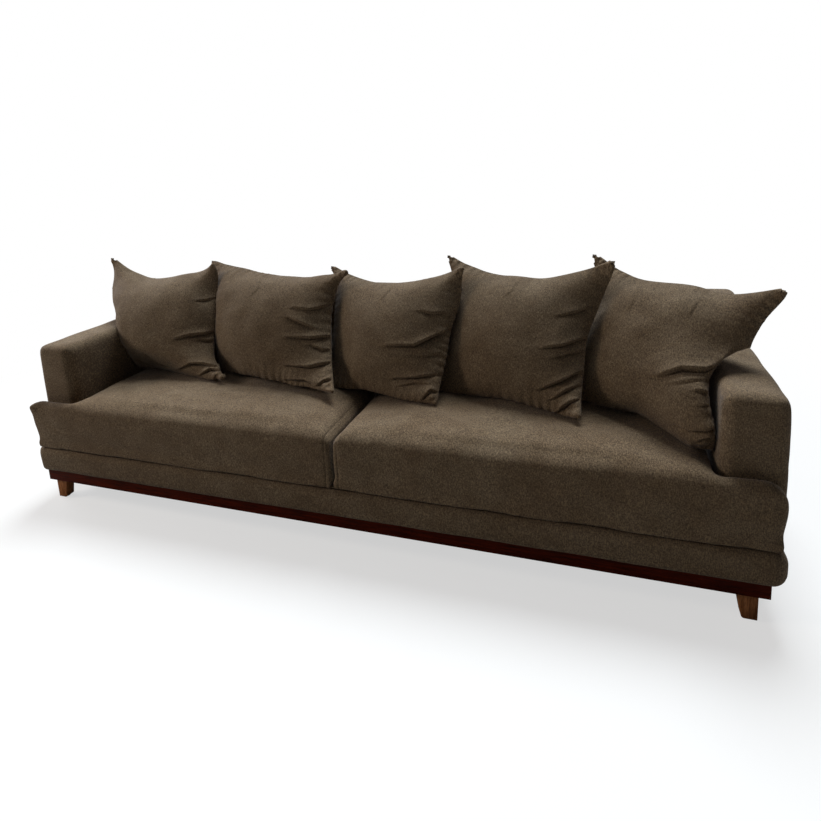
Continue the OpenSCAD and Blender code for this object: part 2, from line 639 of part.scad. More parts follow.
// Pull of the corners, as shares of the pillow's width: top left, top right, bottom left, bottom right,
// each as [across, up, forward]
pillow_ear_shares = [
  [[-0.13, 0.02, 0.04], [-0.085, -0.07, 0.05], [0.17, 0.09, -0.08], [0.23, 0, 0.09]],
  [[-0.16, -0.055, -0.04], [0.075, -0.125, 0.05], [0.06, 0, -0.05], [0.22, -0.02, 0.09]],
  [[-0.065, -0.078, -0.04], [0.045, -0.085, 0.05], [0, 0, -0.05], [0.03, -0.03, 0.07]],
  [[-0.075, 0, -0.04], [0.075, -0.007, 0.1], [0, 0, -0.05], [0.045, 0.015, 0.1]],
  [[-0.075, 0.02, -0.04], [0.025, -0.04, 0.06], [0, 0, -0.05], [-0.038, 0.023, 0.03]]
];
// Dip of each pillow's top edge, as a share of the usual one
pillow_dip_shares = [1, 1.2, 1.3, 1, 1];
// Pull of the corners at the filling
inner_ear_share = 0.25;
side_fullness = 0.55;
tucked_fullness = 0.9;
top_fullness = 0.8;
pillow_sag = 0.12;
ear_power = 3;
draw_power = 2.6;
seam_room = 15;
function edge_spaced(n) = [for (i = [0:n]) sin(180 * i / n - 90)];

// One point of a pillow's skin about its own middle, where side is -1 in front and 1 behind
function pillow_skin(u, v, side, ears, dip_share, wall) =
  let (hw = pillow_w / 2 - seam_room * wall, hh = pillow_h / 2 - seam_room * wall, ht = pillow_t / 2 - 2 * wall,
    puff = pow(max(0, 1 - u * u), u > 0 && wall == 0 ? side_fullness : tucked_fullness)
      * pow(max(0, 1 - v * v), v > 0 || wall > 0 ? top_fullness : side_fullness)
      * (1 - pillow_sag * v),
    pull = [for (a = [[-1, 1], [1, 1], [-1, -1], [1, -1]])
      pow(max(0, a[0] * u * a[1] * v), ear_power) * (a[0] * u > 0 && a[1] * v > 0 ? pillow_w : 0)],
    ear = pull * ears * (wall == 0 ? 1 : inner_ear_share),
    rise_draw = v > 0 ? pillow_top_draw * dip_share : pillow_side_draw)
  [hw * u - pillow_side_draw * u * abs(u) * (1 - v * v) + ear[0],
    side * ht * puff - ear[2],
    hh * v - rise_draw * v * abs(v) * (1 - pow(abs(u), draw_power)) + ear[1]];
function turned(p, yaw, roll) =
  let (a = [p.x * cos(roll) + p.z * sin(roll), p.y, p.z * cos(roll) - p.x * sin(roll)],
    b = [a.x, a.y * cos(pillow_lean) + a.z * sin(pillow_lean), a.z * cos(pillow_lean) - a.y * sin(pillow_lean)])
  [b.x * cos(yaw) - b.y * sin(yaw), b.x * sin(yaw) + b.y * cos(yaw), b.z];
function pillow_points(i, n, wall) = [for (side = [-1, 1], u = edge_spaced(n), v = edge_spaced(n))
  turned(pillow_skin(u, v, side, pillow_ear_shares[i], pillow_dip_shares[i], wall), pillow_yaw[i], pillow_roll[i])
    + [pillow_x_shares[i] * arm_in_x, 0, back_h]];

// The pillows lean on the rounded top edge of the back and stand on the seat
lean_out = [0, cos(pillow_lean), -sin(pillow_lean)];
lean_up = [0, sin(pillow_lean), cos(pillow_lean)];
back_edge_mid = [0, back_face_y(back_h - back_edge_r) + back_edge_r, back_h - back_edge_r];
back_plane = back_edge_mid * lean_out - back_edge_r;
// An arm keeps a pillow from spreading past it, up to a little above the arm's top
squeeze = arm_w / 2;
pillow_rest_room = arm_edge_r * 0.7;
spill = 4;
function beside_arm(p, wall, yaw) =
  let (over = wall > 0 ? 0 : spill * max(0, p.z - arm_h - pillow_rest_room),
    limit = arm_in_x - arm_bulge - 2 * soft_gap - seam_room * wall + over,
    start = limit - squeeze, x = abs(p.x),
    shift = x < start ? 0 : sign(p.x) * (limit - squeeze * exp((start - x) / squeeze)) - p.x)
  p + shift * [1, tan(yaw), 0];
function moved(points, shift) = [for (p = points) p + shift];
function leant(points) = moved(points, lean_out * (back_plane - soft_gap - max([for (p = points) p * lean_out])));
function stood(points, yaw) =
  moved(points, lean_up * (soft_gap / 4 - min([for (p = points) let (q = beside_arm(p, 0, yaw)) q.z - seat_top(q.x, q.y)])));
outer_n = 14;
inner_n = 6;
pillow_shifts = [for (i = [0:4])
  let (raw = pillow_points(i, outer_n, 0), yaw = pillow_yaw[i], placed = stood(stood(stood(leant(raw), yaw), yaw), yaw))
  placed[0] - raw[0]];
module pillow_form(i, n, wall) {
  pts = [for (p = moved(pillow_points(i, n, wall), pillow_shifts[i])) beside_arm(p, wall, pillow_yaw[i])];
  side = (n + 1) * (n + 1);
  num = function (s, a, b) (a == 0 || b == 0 || a == n || b == n ? 0 : s * side) + a * (n + 1) + b;
  polyhedron(
    points = pts,
    faces = [for (a = [0:n - 1], b = [0:n - 1]) each let (
        f = [num(0, a, b), num(0, a, b + 1), num(0, a + 1, b + 1), num(0, a + 1, b)],
        r = [num(1, a, b), num(1, a + 1, b), num(1, a + 1, b + 1), num(1, a, b + 1)])
      (a < n / 2) == (b < n / 2)
        ? [[f[0], f[1], f[2]], [f[0], f[2], f[3]], [r[0], r[1], r[2]], [r[0], r[2], r[3]]]
        : [[f[0], f[1], f[3]], [f[1], f[2], f[3]], [r[0], r[1], r[3]], [r[1], r[2], r[3]]]],
    convexity = 8
  );
}
module pillow_cover(i) color(cloth) difference() {
  pillow_form(i, outer_n, 0);
  pillow_form(i, inner_n, 2 * fabric_t);
}
// The filling fills the cover's hollow right up to the cloth
module pillow_filling(i) color(wadding) pillow_form(i, inner_n, 2 * fabric_t);

plinth_front();
plinth_rear();
plinth_left();
plinth_right();
plinth_cross();
leg_front_left();
leg_front_right();
leg_rear_left();
leg_rear_right();
leg_centre();
leg_blocks();
leg_bolts();
leg_glides();
seat_rail_front();
seat_rail_rear();
seat_rail_left();
seat_rail_right();
seat_rail_webbing();
seat_cross_rails();
corner_blocks();
seat_webbing_lengthwise();
seat_webbing_crosswise();
dust_cover();
deck_pad();
deck_cover();
base_padding();
base_cover();
arm_left_end_panels();
arm_left_rails();
arm_left_side_boards();
arm_left_padding();
arm_left_cover();
arm_right_end_panels();
arm_right_rails();
arm_right_side_boards();
arm_right_padding();
arm_right_cover();
back_ribs();
back_boards();
back_webbing();
back_padding();
back_cover();
back_rear_cover();
frame_bolts();
seat_cushion_left_cover();
seat_cushion_left_core();
seat_cushion_left_zip();
seat_cushion_right_cover();
seat_cushion_right_core();
seat_cushion_right_zip();
pillow_cover(0);  // pillow_1_cover
pillow_filling(0);  // pillow_1_filling
pillow_cover(1);  // pillow_2_cover
pillow_filling(1);  // pillow_2_filling
pillow_cover(2);  // pillow_3_cover
pillow_filling(2);  // pillow_3_filling
pillow_cover(3);  // pillow_4_cover
pillow_filling(3);  // pillow_4_filling
pillow_cover(4);  // pillow_5_cover
pillow_filling(4);  // pillow_5_filling
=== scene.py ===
"""Looks of a three-seat sofa: mahogany plinth, tapered legs, cloth covers, two seat cushions and five loose pillows."""

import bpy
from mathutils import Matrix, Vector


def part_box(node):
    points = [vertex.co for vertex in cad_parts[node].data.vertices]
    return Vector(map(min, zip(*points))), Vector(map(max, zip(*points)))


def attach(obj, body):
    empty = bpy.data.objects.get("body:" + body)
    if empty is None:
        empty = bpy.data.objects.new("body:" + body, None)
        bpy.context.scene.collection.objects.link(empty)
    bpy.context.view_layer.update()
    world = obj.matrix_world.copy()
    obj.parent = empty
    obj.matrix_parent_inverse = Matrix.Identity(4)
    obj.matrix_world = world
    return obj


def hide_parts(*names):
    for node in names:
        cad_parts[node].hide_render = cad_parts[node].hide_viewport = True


bl_info = {
    "name": "Three-seat sofa",
    "version": (1, 0, 0),
    "blender": (4, 5, 0),
    "location": "3D View > Sidebar > Sofa",
    "description": "Covers, cushions, pillows and woodwork of an upholstered sofa",
    "category": "Object",
}

import math

import bmesh
import bpy
import numpy as np
from mathutils import Matrix, Vector
from mathutils.bvhtree import BVHTree
from mathutils.kdtree import KDTree

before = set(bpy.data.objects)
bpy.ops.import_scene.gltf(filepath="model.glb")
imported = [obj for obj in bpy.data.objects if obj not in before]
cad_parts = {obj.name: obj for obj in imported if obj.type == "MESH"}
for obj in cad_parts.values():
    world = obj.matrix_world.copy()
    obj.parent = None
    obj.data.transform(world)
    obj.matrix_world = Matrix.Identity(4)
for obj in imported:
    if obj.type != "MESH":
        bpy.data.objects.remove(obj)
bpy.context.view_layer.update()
IMAGE = 821
MM_PER_M = 1000
MERGE = 1e-5
UP, DOWN = Vector((0, 0, 1)), Vector((0, 0, -1))
CLOTH_NAME = "heathered_chenille"

# Where the eye stands, how it is turned, and its focal length and middle in pixels of the image
EYE = np.array((0.8764, -2.0285, 1.3436))
YAW, PITCH, ROLL = 0.32327, 0.17633, -0.05392
FOCAL = 569.2
MIDDLE = (413.2, 257.2)

# All sizes from here on are in metres, unless a name ends in MM
FLOOR_SIZE = 30
# Steps in a rounded edge
ROUND_STEPS = 8
# Pressure of the air that a cover is filled out with, over foam and in a pillow
FOAM_PRESSURE, PILLOW_PRESSURE = 4, 3
# How uneven a cover over foam is
COVER_UNEVEN = 0.0011

# The band round the base: how far its front and its right end swell out, and how far in from the outside that reaches
BAND_SWELL, BAND_END_SWELL, BAND_REACH = 0.014, 0.02, 0.03
# Radius of its corners, and the groove between it and what lies on it
BAND_CORNER, BAND_GROOVE = 0.028, 0.0035
# An arm: how far its sides swell out, radius of its edges, and the most that a point moves as it fills out
ARM_SWELL, ARM_EDGE, ARM_CAP = 0.005, 0.028, 0.004
# The back: radius of its top edges, and the angle of its front
BACK_EDGE, BACK_RAKE = 0.034, math.radians(5)
# The panel that closes the rear: its gap to the back, how far it swells, and how far in from its rim
REAR_PANEL_GAP, REAR_PANEL_SWELL, REAR_PANEL_RIM = 0.0015, 0.0022, 0.02
# How far the deck and the cloth under the frame sag
DECK_SAG, DUST_SAG = 0.003, 0.004

# A seat cushion, up to the edge of its top
CUSHION_H = 0.191
# How much higher the round of the front edge starts, and how far from the left corner that edge gets sharper
FRONT_CREST, LEFT_CORNER_REACH = 0.004, 0.25
# The radius at the outer end of the left and the right cushion, as times seat_end_round
END_ROUND_TIMES = {-1: 0.2, 1: 2.2}
# The right end: radius of its upright front corner, how far it swells out and how far in that reaches
RIGHT_CORNER_ROUND, RIGHT_END_SWELL, RIGHT_END_REACH = 0.04, 0.009, 0.08
# The lip over the band: how far up and in it reaches, and how far in its face is
LIP, LIP_IN = 0.03, 0.001
# The inner end: how deep a stretch of points is drawn flat, and its distance from the middle of the sofa
INNER_END, INNER_GAP = 0.009, 0.0004
# The foot of the outer end: how far it stands back, and how far up and in that reaches
FOOT_IN, FOOT_H, FOOT_REACH = 0.011, 0.12, 0.1
# The turned in edge just over the band: depth, height, how far round the wall it reaches, and where the end's wall is
TURN_IN, TURN_H, TURN_REACH, TURN_END = 0.0045, 0.007, 0.02, 0.013
# The left end: how far in it keeps its form, how far it leans out, and how far in and back the lean reaches
LEFT_END_HELD, LEFT_LEAN, LEFT_LEAN_X, LEFT_LEAN_Y = 0.2, 0.02, 0.15, 0.25
# Its pointed front corner: which way it points, how far it is pushed and how far round it that reaches
TIP_WAY, TIP_PUSH, TIP_REACH = np.array((-0.6, -0.6, 0.52)), 0.013, 0.024
# Where rows of points are cut beside the end panel's seam and over the foot, and half the seam's width
SEAM_ROWS = (-0.005, -0.0025, 0, 0.0025, 0.005)
FOOT_ROWS = (0.001, 0.0025, 0.0045, 0.008)
SEAM_HALF = 0.0028

# A zip, whose pieces have their size along it, off the cushion and up: half the tape's thickness, its distance from the
# wall, and how far in from its ends the coil starts
ZIP_HALF_T, ZIP_LIFT, ZIP_END = 0.0006, 0.0006, 0.01
# A tooth of the coil: size, distance to the next, and how far off the tape and off the middle it is
TOOTH, TOOTH_PITCH, TOOTH_OUT, TOOTH_UP = (0.0019, 0.0018, 0.0042), 0.0028, 0.0014, 0.0011
# The slider: size, how far off the tape, and how far from the zip's end
SLIDER, SLIDER_OUT, SLIDER_IN = (0.012, 0.0035, 0.0085), 0.0024, 0.016
# Its pull: size, and how far back from the slider, off the tape and down
PULL, PULL_BACK, PULL_OUT, PULL_DOWN = (0.0055, 0.0012, 0.02), 0.002, 0.005, 0.009

# A pillow's gathers: distance from one to the next, and how near the seam they start
GATHER_PITCH, GATHER_START = 0.034, 0.006
# How near the seam folds and crumples start
FOLD_START = 0.01
# The crumpled corner: height of the crumples, how far they reach, and their width in mm
CRUMPLE, CRUMPLE_REACH, CRUMPLE_MM = 0.0045, 0.06, 34
# How uneven a pillow is
PILLOW_UNEVEN = 0.002
# What a fold's depth in mm is divided by, since a roll and its crease never both reach full height
FOLD_DEPTH_SCALE = 820
# How much thicker a corner gets, and how many times further that reaches than the corner is taken back
CORNER_THICKER, CORNER_THICK_TIMES = 0.0065, 2.2
# For the lower and the upper corners: how far each is taken back, and how far round it that reaches
CORNERS_TAKEN_BACK = ((-1, 0.009, 0.04), (1, 0.008, 0.03))
# Corners over this height are kept sharp as the mesh is made finer
UPPER_CORNERS_Z = 0.6
# Beside the right arm: from which x on and below which z the last pillow comes forward, over what stretches, how far
BESIDE_FROM, BESIDE_REACH, BESIDE_FORWARD = (0.98, 0.58), (0.2, 0.16), 0.075
# Below this height points slide along the seat, over what stretch that sets in, and how far at most
SLIDE_FROM, SLIDE_REACH, SLIDE_MOST = 0.43, 0.12, 0.06
# Letting a pillow down: how far down the seat is looked for, how far it goes at most, how high up its foot reaches
FOOT_SEARCH, LET_DOWN_MOST, LET_DOWN_REACH = 0.05, 0.018, 0.22

# Turn of each pillow about the upright, and how far all lean back from it, in degrees
PILLOW_YAWS = (-5, -9, -10, -13.5, -26.6)
PILLOW_LEAN = 31

# Folds of the pillows as the eye sees them: points in pixels of the image, half width in mm, depth in mm
PILLOW_FOLDS = (
    (
        (((176, 339), (189, 335.5), (205, 334), (216, 331)), 9, 10),
        (((198, 340), (209, 341), (218, 339)), 7, 6),
        (((197, 301), (207, 300), (215, 298)), 7, 4),
        (((180, 369), (191, 364), (203, 364), (217, 367)), 9, 8),
        (((201, 375), (210, 369), (220, 371)), 7, 8),
        (((145, 354), (157, 363), (170, 367)), 12, 4),
        (((163, 268), (158, 277), (152, 283)), 9, 1.0),
    ),
    (
        (((293, 308), (310, 310), (330, 305)), 8, 5),
        (((288, 318), (300, 323), (315, 329)), 8, 7),
        (((288, 337.5), (310, 338.5), (333, 336)), 9, 9),
        (((310, 345), (322, 350), (332, 350)), 8, 5),
        (((287, 366), (308, 367.5), (332, 362)), 9, 9),
        (((286, 380), (305, 381), (315, 386)), 9, 6),
        (((318, 386), (325, 381), (332, 380)), 7, 6),
        (((262, 277), (259, 288), (252, 296)), 10, 1.0),
    ),
    (
        (((388, 346), (414, 346), (433, 337), (449, 330)), 10, 11),
        (((421, 311), (431, 314), (443, 313)), 9, 5),
        (((394, 379), (415, 378), (436, 375)), 9, 8),
        (((400, 386), (415, 383), (428, 384)), 7, 5),
        (((424, 399), (431, 391), (439, 394)), 7, 7),
        (((398, 283), (388, 292), (378, 303)), 11, 1.0),
        (((412, 355), (426, 357), (440, 353)), 8, 4),
    ),
    (
        (((545, 348), (563, 346), (586, 338)), 9, 7),
        (((553, 358), (568, 354), (584, 351)), 8, 5),
        (((540, 390), (560, 382), (581, 372)), 9, 9),
        (((552, 400), (566, 391), (578, 386)), 8, 6),
        (((556, 414), (568, 404), (579, 400)), 8, 8),
        (((560, 316), (578, 312), (594, 306)), 10, 4),
        (((520, 279), (513, 290), (504, 298)), 11, 1.0),
    ),
    (
        (((660, 376), (682, 369), (706, 370.5), (727, 364)), 10, 11),
        (((672, 384), (697, 380), (716, 380)), 8, 3),
        (((697, 391), (707, 393), (722, 386)), 9, 5),
        (((700, 406), (709, 406), (722, 402)), 9, 3.5),
        (((676, 425), (690, 431), (706, 432), (722, 425)), 9, 6),
        (((699, 441), (709, 437), (720, 438)), 6, 7),
        (((640, 290), (634, 302), (628, 312)), 12, 1.0),
        (((700, 300), (693, 311), (688, 320)), 12, 1.0),
    ),
)

# Handles on the outlines of the pillows as the eye sees them, in pixels of the image: where each is on the plain form,
# and where it is drawn to
PILLOW_OUTLINES = (
    (
        (117.7, 264, 112.3, 258.5), (124, 279, 114, 272.5), (126.7, 297, 114, 290), (131, 313, 114.5, 312),
        (127.3, 343.3, 120.5, 342), (128.3, 366.7, 133, 357), (133.3, 372.7, 141, 363.5), (150, 374, 155, 368.5),
        (166.7, 375, 168, 370.5), (190, 376, 190, 374.5), (219, 379.3, 222, 377), (211.7, 356.7, 217.5, 356),
        (210, 340, 215.5, 341), (211.7, 306.7, 215.5, 306), (216.7, 283.3, 217, 286), (213.8, 274, 218.5, 274),
        (213.3, 268.3, 214.5, 264), (176.7, 277.3, 168, 277.5), (146, 273, 143, 273.3), (197, 273, 191, 271.5),
    ),
    (
        (225.3, 261.7, 215.5, 261.5), (231, 283.3, 216.3, 281), (228.3, 300, 215, 302), (218.3, 333.3, 214, 330),
        (215, 360, 219, 357), (216.7, 368.3, 223.5, 368.5), (243.3, 370.7, 243, 374), (273.3, 375, 272, 379.5),
        (300, 381.7, 300, 386.5), (331.7, 389.3, 331, 390.5), (323.3, 370, 332.5, 368), (320, 350, 332.5, 348),
        (321.7, 330, 333, 328), (330, 303.3, 336.5, 303), (335, 283.3, 341, 283), (335, 268.3, 339.5, 271),
        (310, 270.7, 314, 276), (283.3, 271.7, 285, 276.5), (250, 268.3, 250, 270.2),
    ),
    (
        (333.3, 266, 333.3, 266.5), (330, 300, 333, 300), (322.7, 333.3, 332, 333), (321.7, 363.3, 333, 366),
        (326.7, 375, 337, 381.5), (360, 380, 358, 386.5), (386.7, 385, 385, 393), (413.3, 393.3, 413, 400),
        (437.3, 403.3, 437, 402.5), (438.3, 373.3, 442.5, 373), (439.3, 350, 446.5, 350), (443.3, 323.3, 452, 323),
        (448.3, 300, 459.5, 300), (455, 271.7, 457.5, 270.5), (436.7, 273.3, 441, 275), (416.7, 275, 416, 279.5),
        (383.3, 274, 385, 282), (350, 270.7, 352, 275.5),
    ),
    (
        (452.3, 257.3, 448.8, 255.8), (443.3, 333.3, 443, 333), (440.7, 366.7, 440.5, 369), (443.3, 386.7, 442, 391),
        (463.3, 389.3, 463, 393), (496.7, 395, 496, 396.5), (530, 403.3, 529, 404.8), (563.3, 412.7, 561, 413.5),
        (584, 415.7, 579.5, 415.5), (582.7, 390, 583.5, 390), (581.7, 370, 584.5, 370), (585, 343.3, 588, 343),
        (590, 316.7, 596, 316.5), (596.7, 296.7, 605, 297), (606.7, 273.3, 611.5, 274), (613.3, 262.7, 615, 260.5),
        (590, 269, 592, 265.5), (563.3, 275, 560, 274.5), (540, 276.7, 537, 277.3), (513.3, 275, 512, 275.5),
        (480, 267.7, 480, 268.3),
    ),
    (
        (595.7, 254, 593.3, 254.3), (616.7, 268.3, 616.7, 268.3), (636.7, 276.7, 633, 276.5), (663.3, 285, 663, 283),
        (690, 289.3, 690, 284.7), (716.7, 290.7, 716.7, 290), (756.7, 291.7, 756.7, 292), (782.3, 289.3, 787.7, 290.7),
        (773.3, 306.7, 779, 306.7), (763.3, 326.7, 763.3, 326.7), (752.7, 346.7, 752, 346.7), (714, 460, 715, 447),
        (683.3, 438.3, 688, 437), (656.7, 426.7, 656, 421), (630, 416.7, 630, 412), (603.3, 406.7, 603.3, 406),
        (585, 403.3, 585, 403.3),
    ),
)


def srgb(text):
    """The linear colour, with an alpha of one, of an sRGB hex value."""
    parts = [int(text[i : i + 2], 16) / 255 for i in (1, 3, 5)]
    return tuple(c / 12.92 if c <= 0.04045 else ((c + 0.055) / 1.055) ** 2.4 for c in parts) + (1.0,)


def colour(name, text, words):
    """A colour that the user can change."""
    return bpy.props.FloatVectorProperty(
        name=name, description=words, subtype="COLOR", size=4, min=0, max=1, default=srgb(text),
    )


def length(name, default, words):
    """A length that the user can change."""
    return bpy.props.FloatProperty(name=name, description=words, default=default, min=0, unit="LENGTH", precision=4)


class SofaShapes(bpy.types.PropertyGroup):
    """Sizes of the covers and the woodwork."""

    cover_cell: length("Cover cell", 0.012, "Side of a cell of the mesh that an arm's cover is filled out on")
    cushion_cell: length("Cushion cell", 0.012, "Side of a cell of the mesh that a seat cushion is filled out on")
    seat_round: length("Seat edge", 0.056, "Radius of a seat cushion's front top edge")
    seat_end_round: length("Seat end", 0.03, "Radius of a seat cushion's outer top edge")
    seam_in: length("End seam", 0.024, "Distance from the end of a seat cushion to the seam of its end panel")
    seam_depth: length("Seam depth", 0.0022, "Depth of a sewn seam")
    pucker: length("Pucker", 0.003, "Height of the small gathers along a pillow's seam")
    pucker_reach: length("Pucker reach", 0.036, "How far the small gathers run in from the seam")
    board_edge: length("Board edge", 0.0018, "Radius of the edges of the boards and legs")
    cushion_cap: length("Cushion swell", 0.008, "Most that a point of a seat cushion moves as it fills out")
    pillow_cap: length("Pillow swell", 0.007, "Most that a point of a pillow moves as it fills out")


class SofaColours(bpy.types.PropertyGroup):
    """Colours of the cloth and the wood."""

    yarn_light: colour("Light yarn", "#988468", "Light yarn of the covers")
    yarn_mid: colour("Yarn", "#756450", "Main yarn of the covers")
    yarn_dark: colour("Dark yarn", "#4a3d30", "Dark yarn of the covers")
    mahogany_light: colour("Mahogany", "#5c1d09", "Light grain of the plinth")
    mahogany_dark: colour("Dark mahogany", "#2d0c05", "Dark grain of the plinth")
    leg_light: colour("Leg wood", "#c98a5c", "Light grain of the legs")
    leg_dark: colour("Dark leg wood", "#8a5432", "Dark grain of the legs")


def eye_axes():
    """Right, up and forward of the eye."""
    forward = np.array((-math.sin(YAW) * math.cos(PITCH), math.cos(YAW) * math.cos(PITCH), -math.sin(PITCH)))
    right = np.array((math.cos(YAW), math.sin(YAW), 0.0))
    up = np.cross(right, forward)
    c, s = math.cos(ROLL), math.sin(ROLL)
    return c * right + s * up, c * up - s * right, forward


def seen(points):
    """Pixels of the image where points show."""
    right, up, forward = eye_axes()
    away = points - EYE
    depth = away @ forward
    return np.stack((
        MIDDLE[0] + FOCAL * (away @ right) / depth,
        MIDDLE[1] - FOCAL * (away @ up) / depth,
    ), 1)


def node(tree, kind, out, inputs, **settings):
    """Adds a node with its settings, sets or links its inputs by name or number, and returns the output asked for."""
    made = tree.nodes.new(kind)
    for name, value in settings.items():
        setattr(made, name, value)
    for key, value in inputs.items():
        if isinstance(value, bpy.types.NodeSocket):
            tree.links.new(value, made.inputs[key])
        else:
            made.inputs[key].default_value = value
    return None if out is None else made.outputs[out]


def empty_material(name):
    """A material with an empty node tree, that tree, and its Object coordinates."""
    material = bpy.data.materials.new(name)
    material.use_nodes = True
    tree = material.node_tree
    tree.nodes.clear()
    return material, tree, node(tree, "ShaderNodeTexCoord", "Object", {})


def built_material(name, grains, ground, layers, relief, sockets, worn=None, gloss=None):
    """A material of noises, layers of colour over a ground colour, and a relief.

    Each grain is a noise: name, width in mm, how many times longer it is along x, y and z, detail, roughness.
    Each layer has its noise, where the noise starts it and makes it full, its colour and its blend.
    Each part of the relief has its noise, its height in mm and its strength.
    sockets are set on the shader. worn names a noise that only shows on edges. gloss names the noise that
    the roughness follows, with its least and its most.
    """
    material, tree, place = empty_material(name)
    noises = {}
    for grain, mm, longer, detail, rough in grains:
        grid = node(tree, "ShaderNodeMapping", 0, {
            "Vector": place, "Scale": [MM_PER_M / (mm * times) for times in longer],
        })
        noises[grain] = node(tree, "ShaderNodeTexNoise", 0, {
            "Vector": grid, "Scale": 1.0, "Detail": detail, "Roughness": rough,
        })
    if worn:
        edges = node(tree, "ShaderNodeNewGeometry", "Pointiness", {})
        noises[worn] = node(tree, "ShaderNodeMath", 0, {0: edges, 1: noises[worn]}, operation="MULTIPLY")
    tone = ground
    for grain, start, full, over, blend in layers:
        share = node(tree, "ShaderNodeMapRange", 0, {"Value": noises[grain], "From Min": start, "From Max": full})
        tone = node(tree, "ShaderNodeMix", 2, {
            0: share, 6: tone, 7: tuple(over),
        }, data_type="RGBA", blend_type=blend)
    normal = {}
    for grain, mm, strength in relief:
        normal = {"Normal": node(tree, "ShaderNodeBump", 0, {
            "Height": noises[grain], "Distance": mm / MM_PER_M, "Strength": strength, **normal,
        })}
    rough = {}
    if gloss:
        grain, least, most = gloss
        rough = {"Roughness": node(tree, "ShaderNodeMapRange", 0, {
            "Value": noises[grain], "To Min": least, "To Max": most,
        })}
    shader = node(tree, "ShaderNodeBsdfPrincipled", 0, {"Base Color": tone, **normal, **sockets, **rough})
    node(tree, "ShaderNodeOutputMaterial", None, {"Surface": shader})
    return material


def cover_cloth():
    """Heathered upholstery weave of matt polyester chenille: fuzzy yarns of three browns about 3 mm apart,
    nap that lies light and dark in clouds, and a greyish bloom at grazing angles."""
    colours = bpy.context.scene.sofa_colours
    return built_material(
        CLOTH_NAME,
        grains=(
            ("weft", 2.6, (2.6, 1, 1), 2.0, 0.6),
            ("warp", 2.6, (1, 2.6, 2.6), 2.0, 0.6),
            ("fleck", 3.7, (1, 1, 1), 3.0, 0.75),
            ("clouds", 60, (1.4, 1, 1), 3.0, 0.6),
            ("wide", 320, (1, 1, 1), 2.0, 0.5),
        ),
        ground=tuple(colours.yarn_dark),
        layers=(
            ("weft", 0.34, 0.62, colours.yarn_mid, "MIX"),
            ("warp", 0.46, 0.7, colours.yarn_light, "MIX"),
            ("fleck", 0.55, 0.82, colours.yarn_light, "MIX"),
            ("fleck", 0.46, 0.24, colours.yarn_dark, "MIX"),
            ("clouds", 0.6, 0.36, srgb("#ebe7e2"), "MULTIPLY"),
            ("wide", 0.65, 0.35, srgb("#efeae5"), "MULTIPLY"),
        ),
        relief=(("weft", 0.8, 0.6), ("warp", 0.8, 0.6), ("fleck", 1.2, 0.7), ("clouds", 3.0, 0.25)),
        sockets={
            "Roughness": 0.92, "Sheen Weight": 0.12, "Sheen Roughness": 0.4,
            "Sheen Tint": srgb("#c4cddc"), "Specular IOR Level": 0.25,
        },
    )


def wood(name, light, dark, along, figure, coat):
    """Planed and lacquered wood: fine pores along the grain, broad bands, edges a little lighter from wear."""
    longer = [14 if axis == along else 1 for axis in range(3)]
    pore = [part * 0.35 for part in dark[:3]] + [1.0]
    bare = [min(1, part * 2) for part in light[:3]] + [1.0]
    return built_material(
        name,
        grains=(
            ("bands", figure, longer, 3.0, 0.6),
            ("pores", 1.1, longer, 2.0, 0.5),
            ("rubbed", 26, (1, 1, 1), 3.0, 0.6),
        ),
        ground=dark,
        layers=(
            ("bands", 0.32, 0.68, light, "MIX"),
            ("pores", 0.56, 0.74, pore, "MIX"),
            ("rubbed", 0.4, 0.6, bare, "MIX"),
        ),
        relief=(("pores", 0.3, 0.5),),
        sockets={"Coat Weight": coat, "Coat Roughness": 0.25, "Specular IOR Level": 0.05},
        worn="rubbed",
        gloss=("bands", 0.5, 0.64),
    )


# Stock that the covers hide: material, light and dark colour, width of its grain in mm, how many times longer that is
# along x, y and z, roughness, height of its fibres in mm
STOCK = {
    # Sawn and planed pine: straight yellow grain, matt
    "pine": ("planed_pine", "#d9b983", "#b98f58", 9, (12, 1, 1), 0.62, 0.3),
    # Birch plywood: pale, with a faint cross figure
    "ply": ("birch_plywood", "#cfa878", "#a97f50", 14, (6, 1, 2), 0.6, 0.2),
    # Pressed wool felt: grey, hairy
    "felt": ("wool_felt", "#9a9894", "#74726d", 3, (1, 1, 1), 0.95, 0.8),
    # Cut polyurethane foam: cream, open pores
    "foam": ("cut_foam", "#e9dfb3", "#d8cc98", 2.5, (1, 1, 1), 0.9, 1),
    # Woven elastic strap: near black ribs
    "webbing": ("elastic_strap", "#48484b", "#2b2b2d", 4, (8, 1, 1), 0.8, 0.6),
    # Zinc-plated steel: grey, slightly brushed
    "steel": ("zinc_plated_steel", "#a4a8ac", "#85898d", 5, (1, 1, 4), 0.35, 0.1),
    # Spunbonded cloth: black, flat, fine dimples
    "black_cloth": ("spunbonded_cloth", "#262629", "#151517", 2, (1, 1, 1), 0.85, 0.4),
    # Polyester wadding: white, fluffy
    "wadding": ("polyester_wadding", "#efede8", "#dddad3", 6, (1, 1, 1), 0.95, 2),
}


def stock_material(slot):
    """The material of a kind of hidden stock, made once."""
    name, light, dark, mm, longer, rough, fibre_mm = STOCK[slot]
    return bpy.data.materials.get(name) or built_material(
        name,
        grains=(("grain", mm, longer, 3.0, 0.6), ("fine", mm / 5, longer, 2.0, 0.5)),
        ground=srgb(dark),
        layers=(("grain", 0.3, 0.7, srgb(light), "MIX"), ("fine", 0.55, 0.75, srgb(dark), "MIX")),
        relief=(("fine", fibre_mm, 0.6),),
        sockets={"Roughness": rough, "Metallic": 1.0 if slot == "steel" else 0.0},
    )


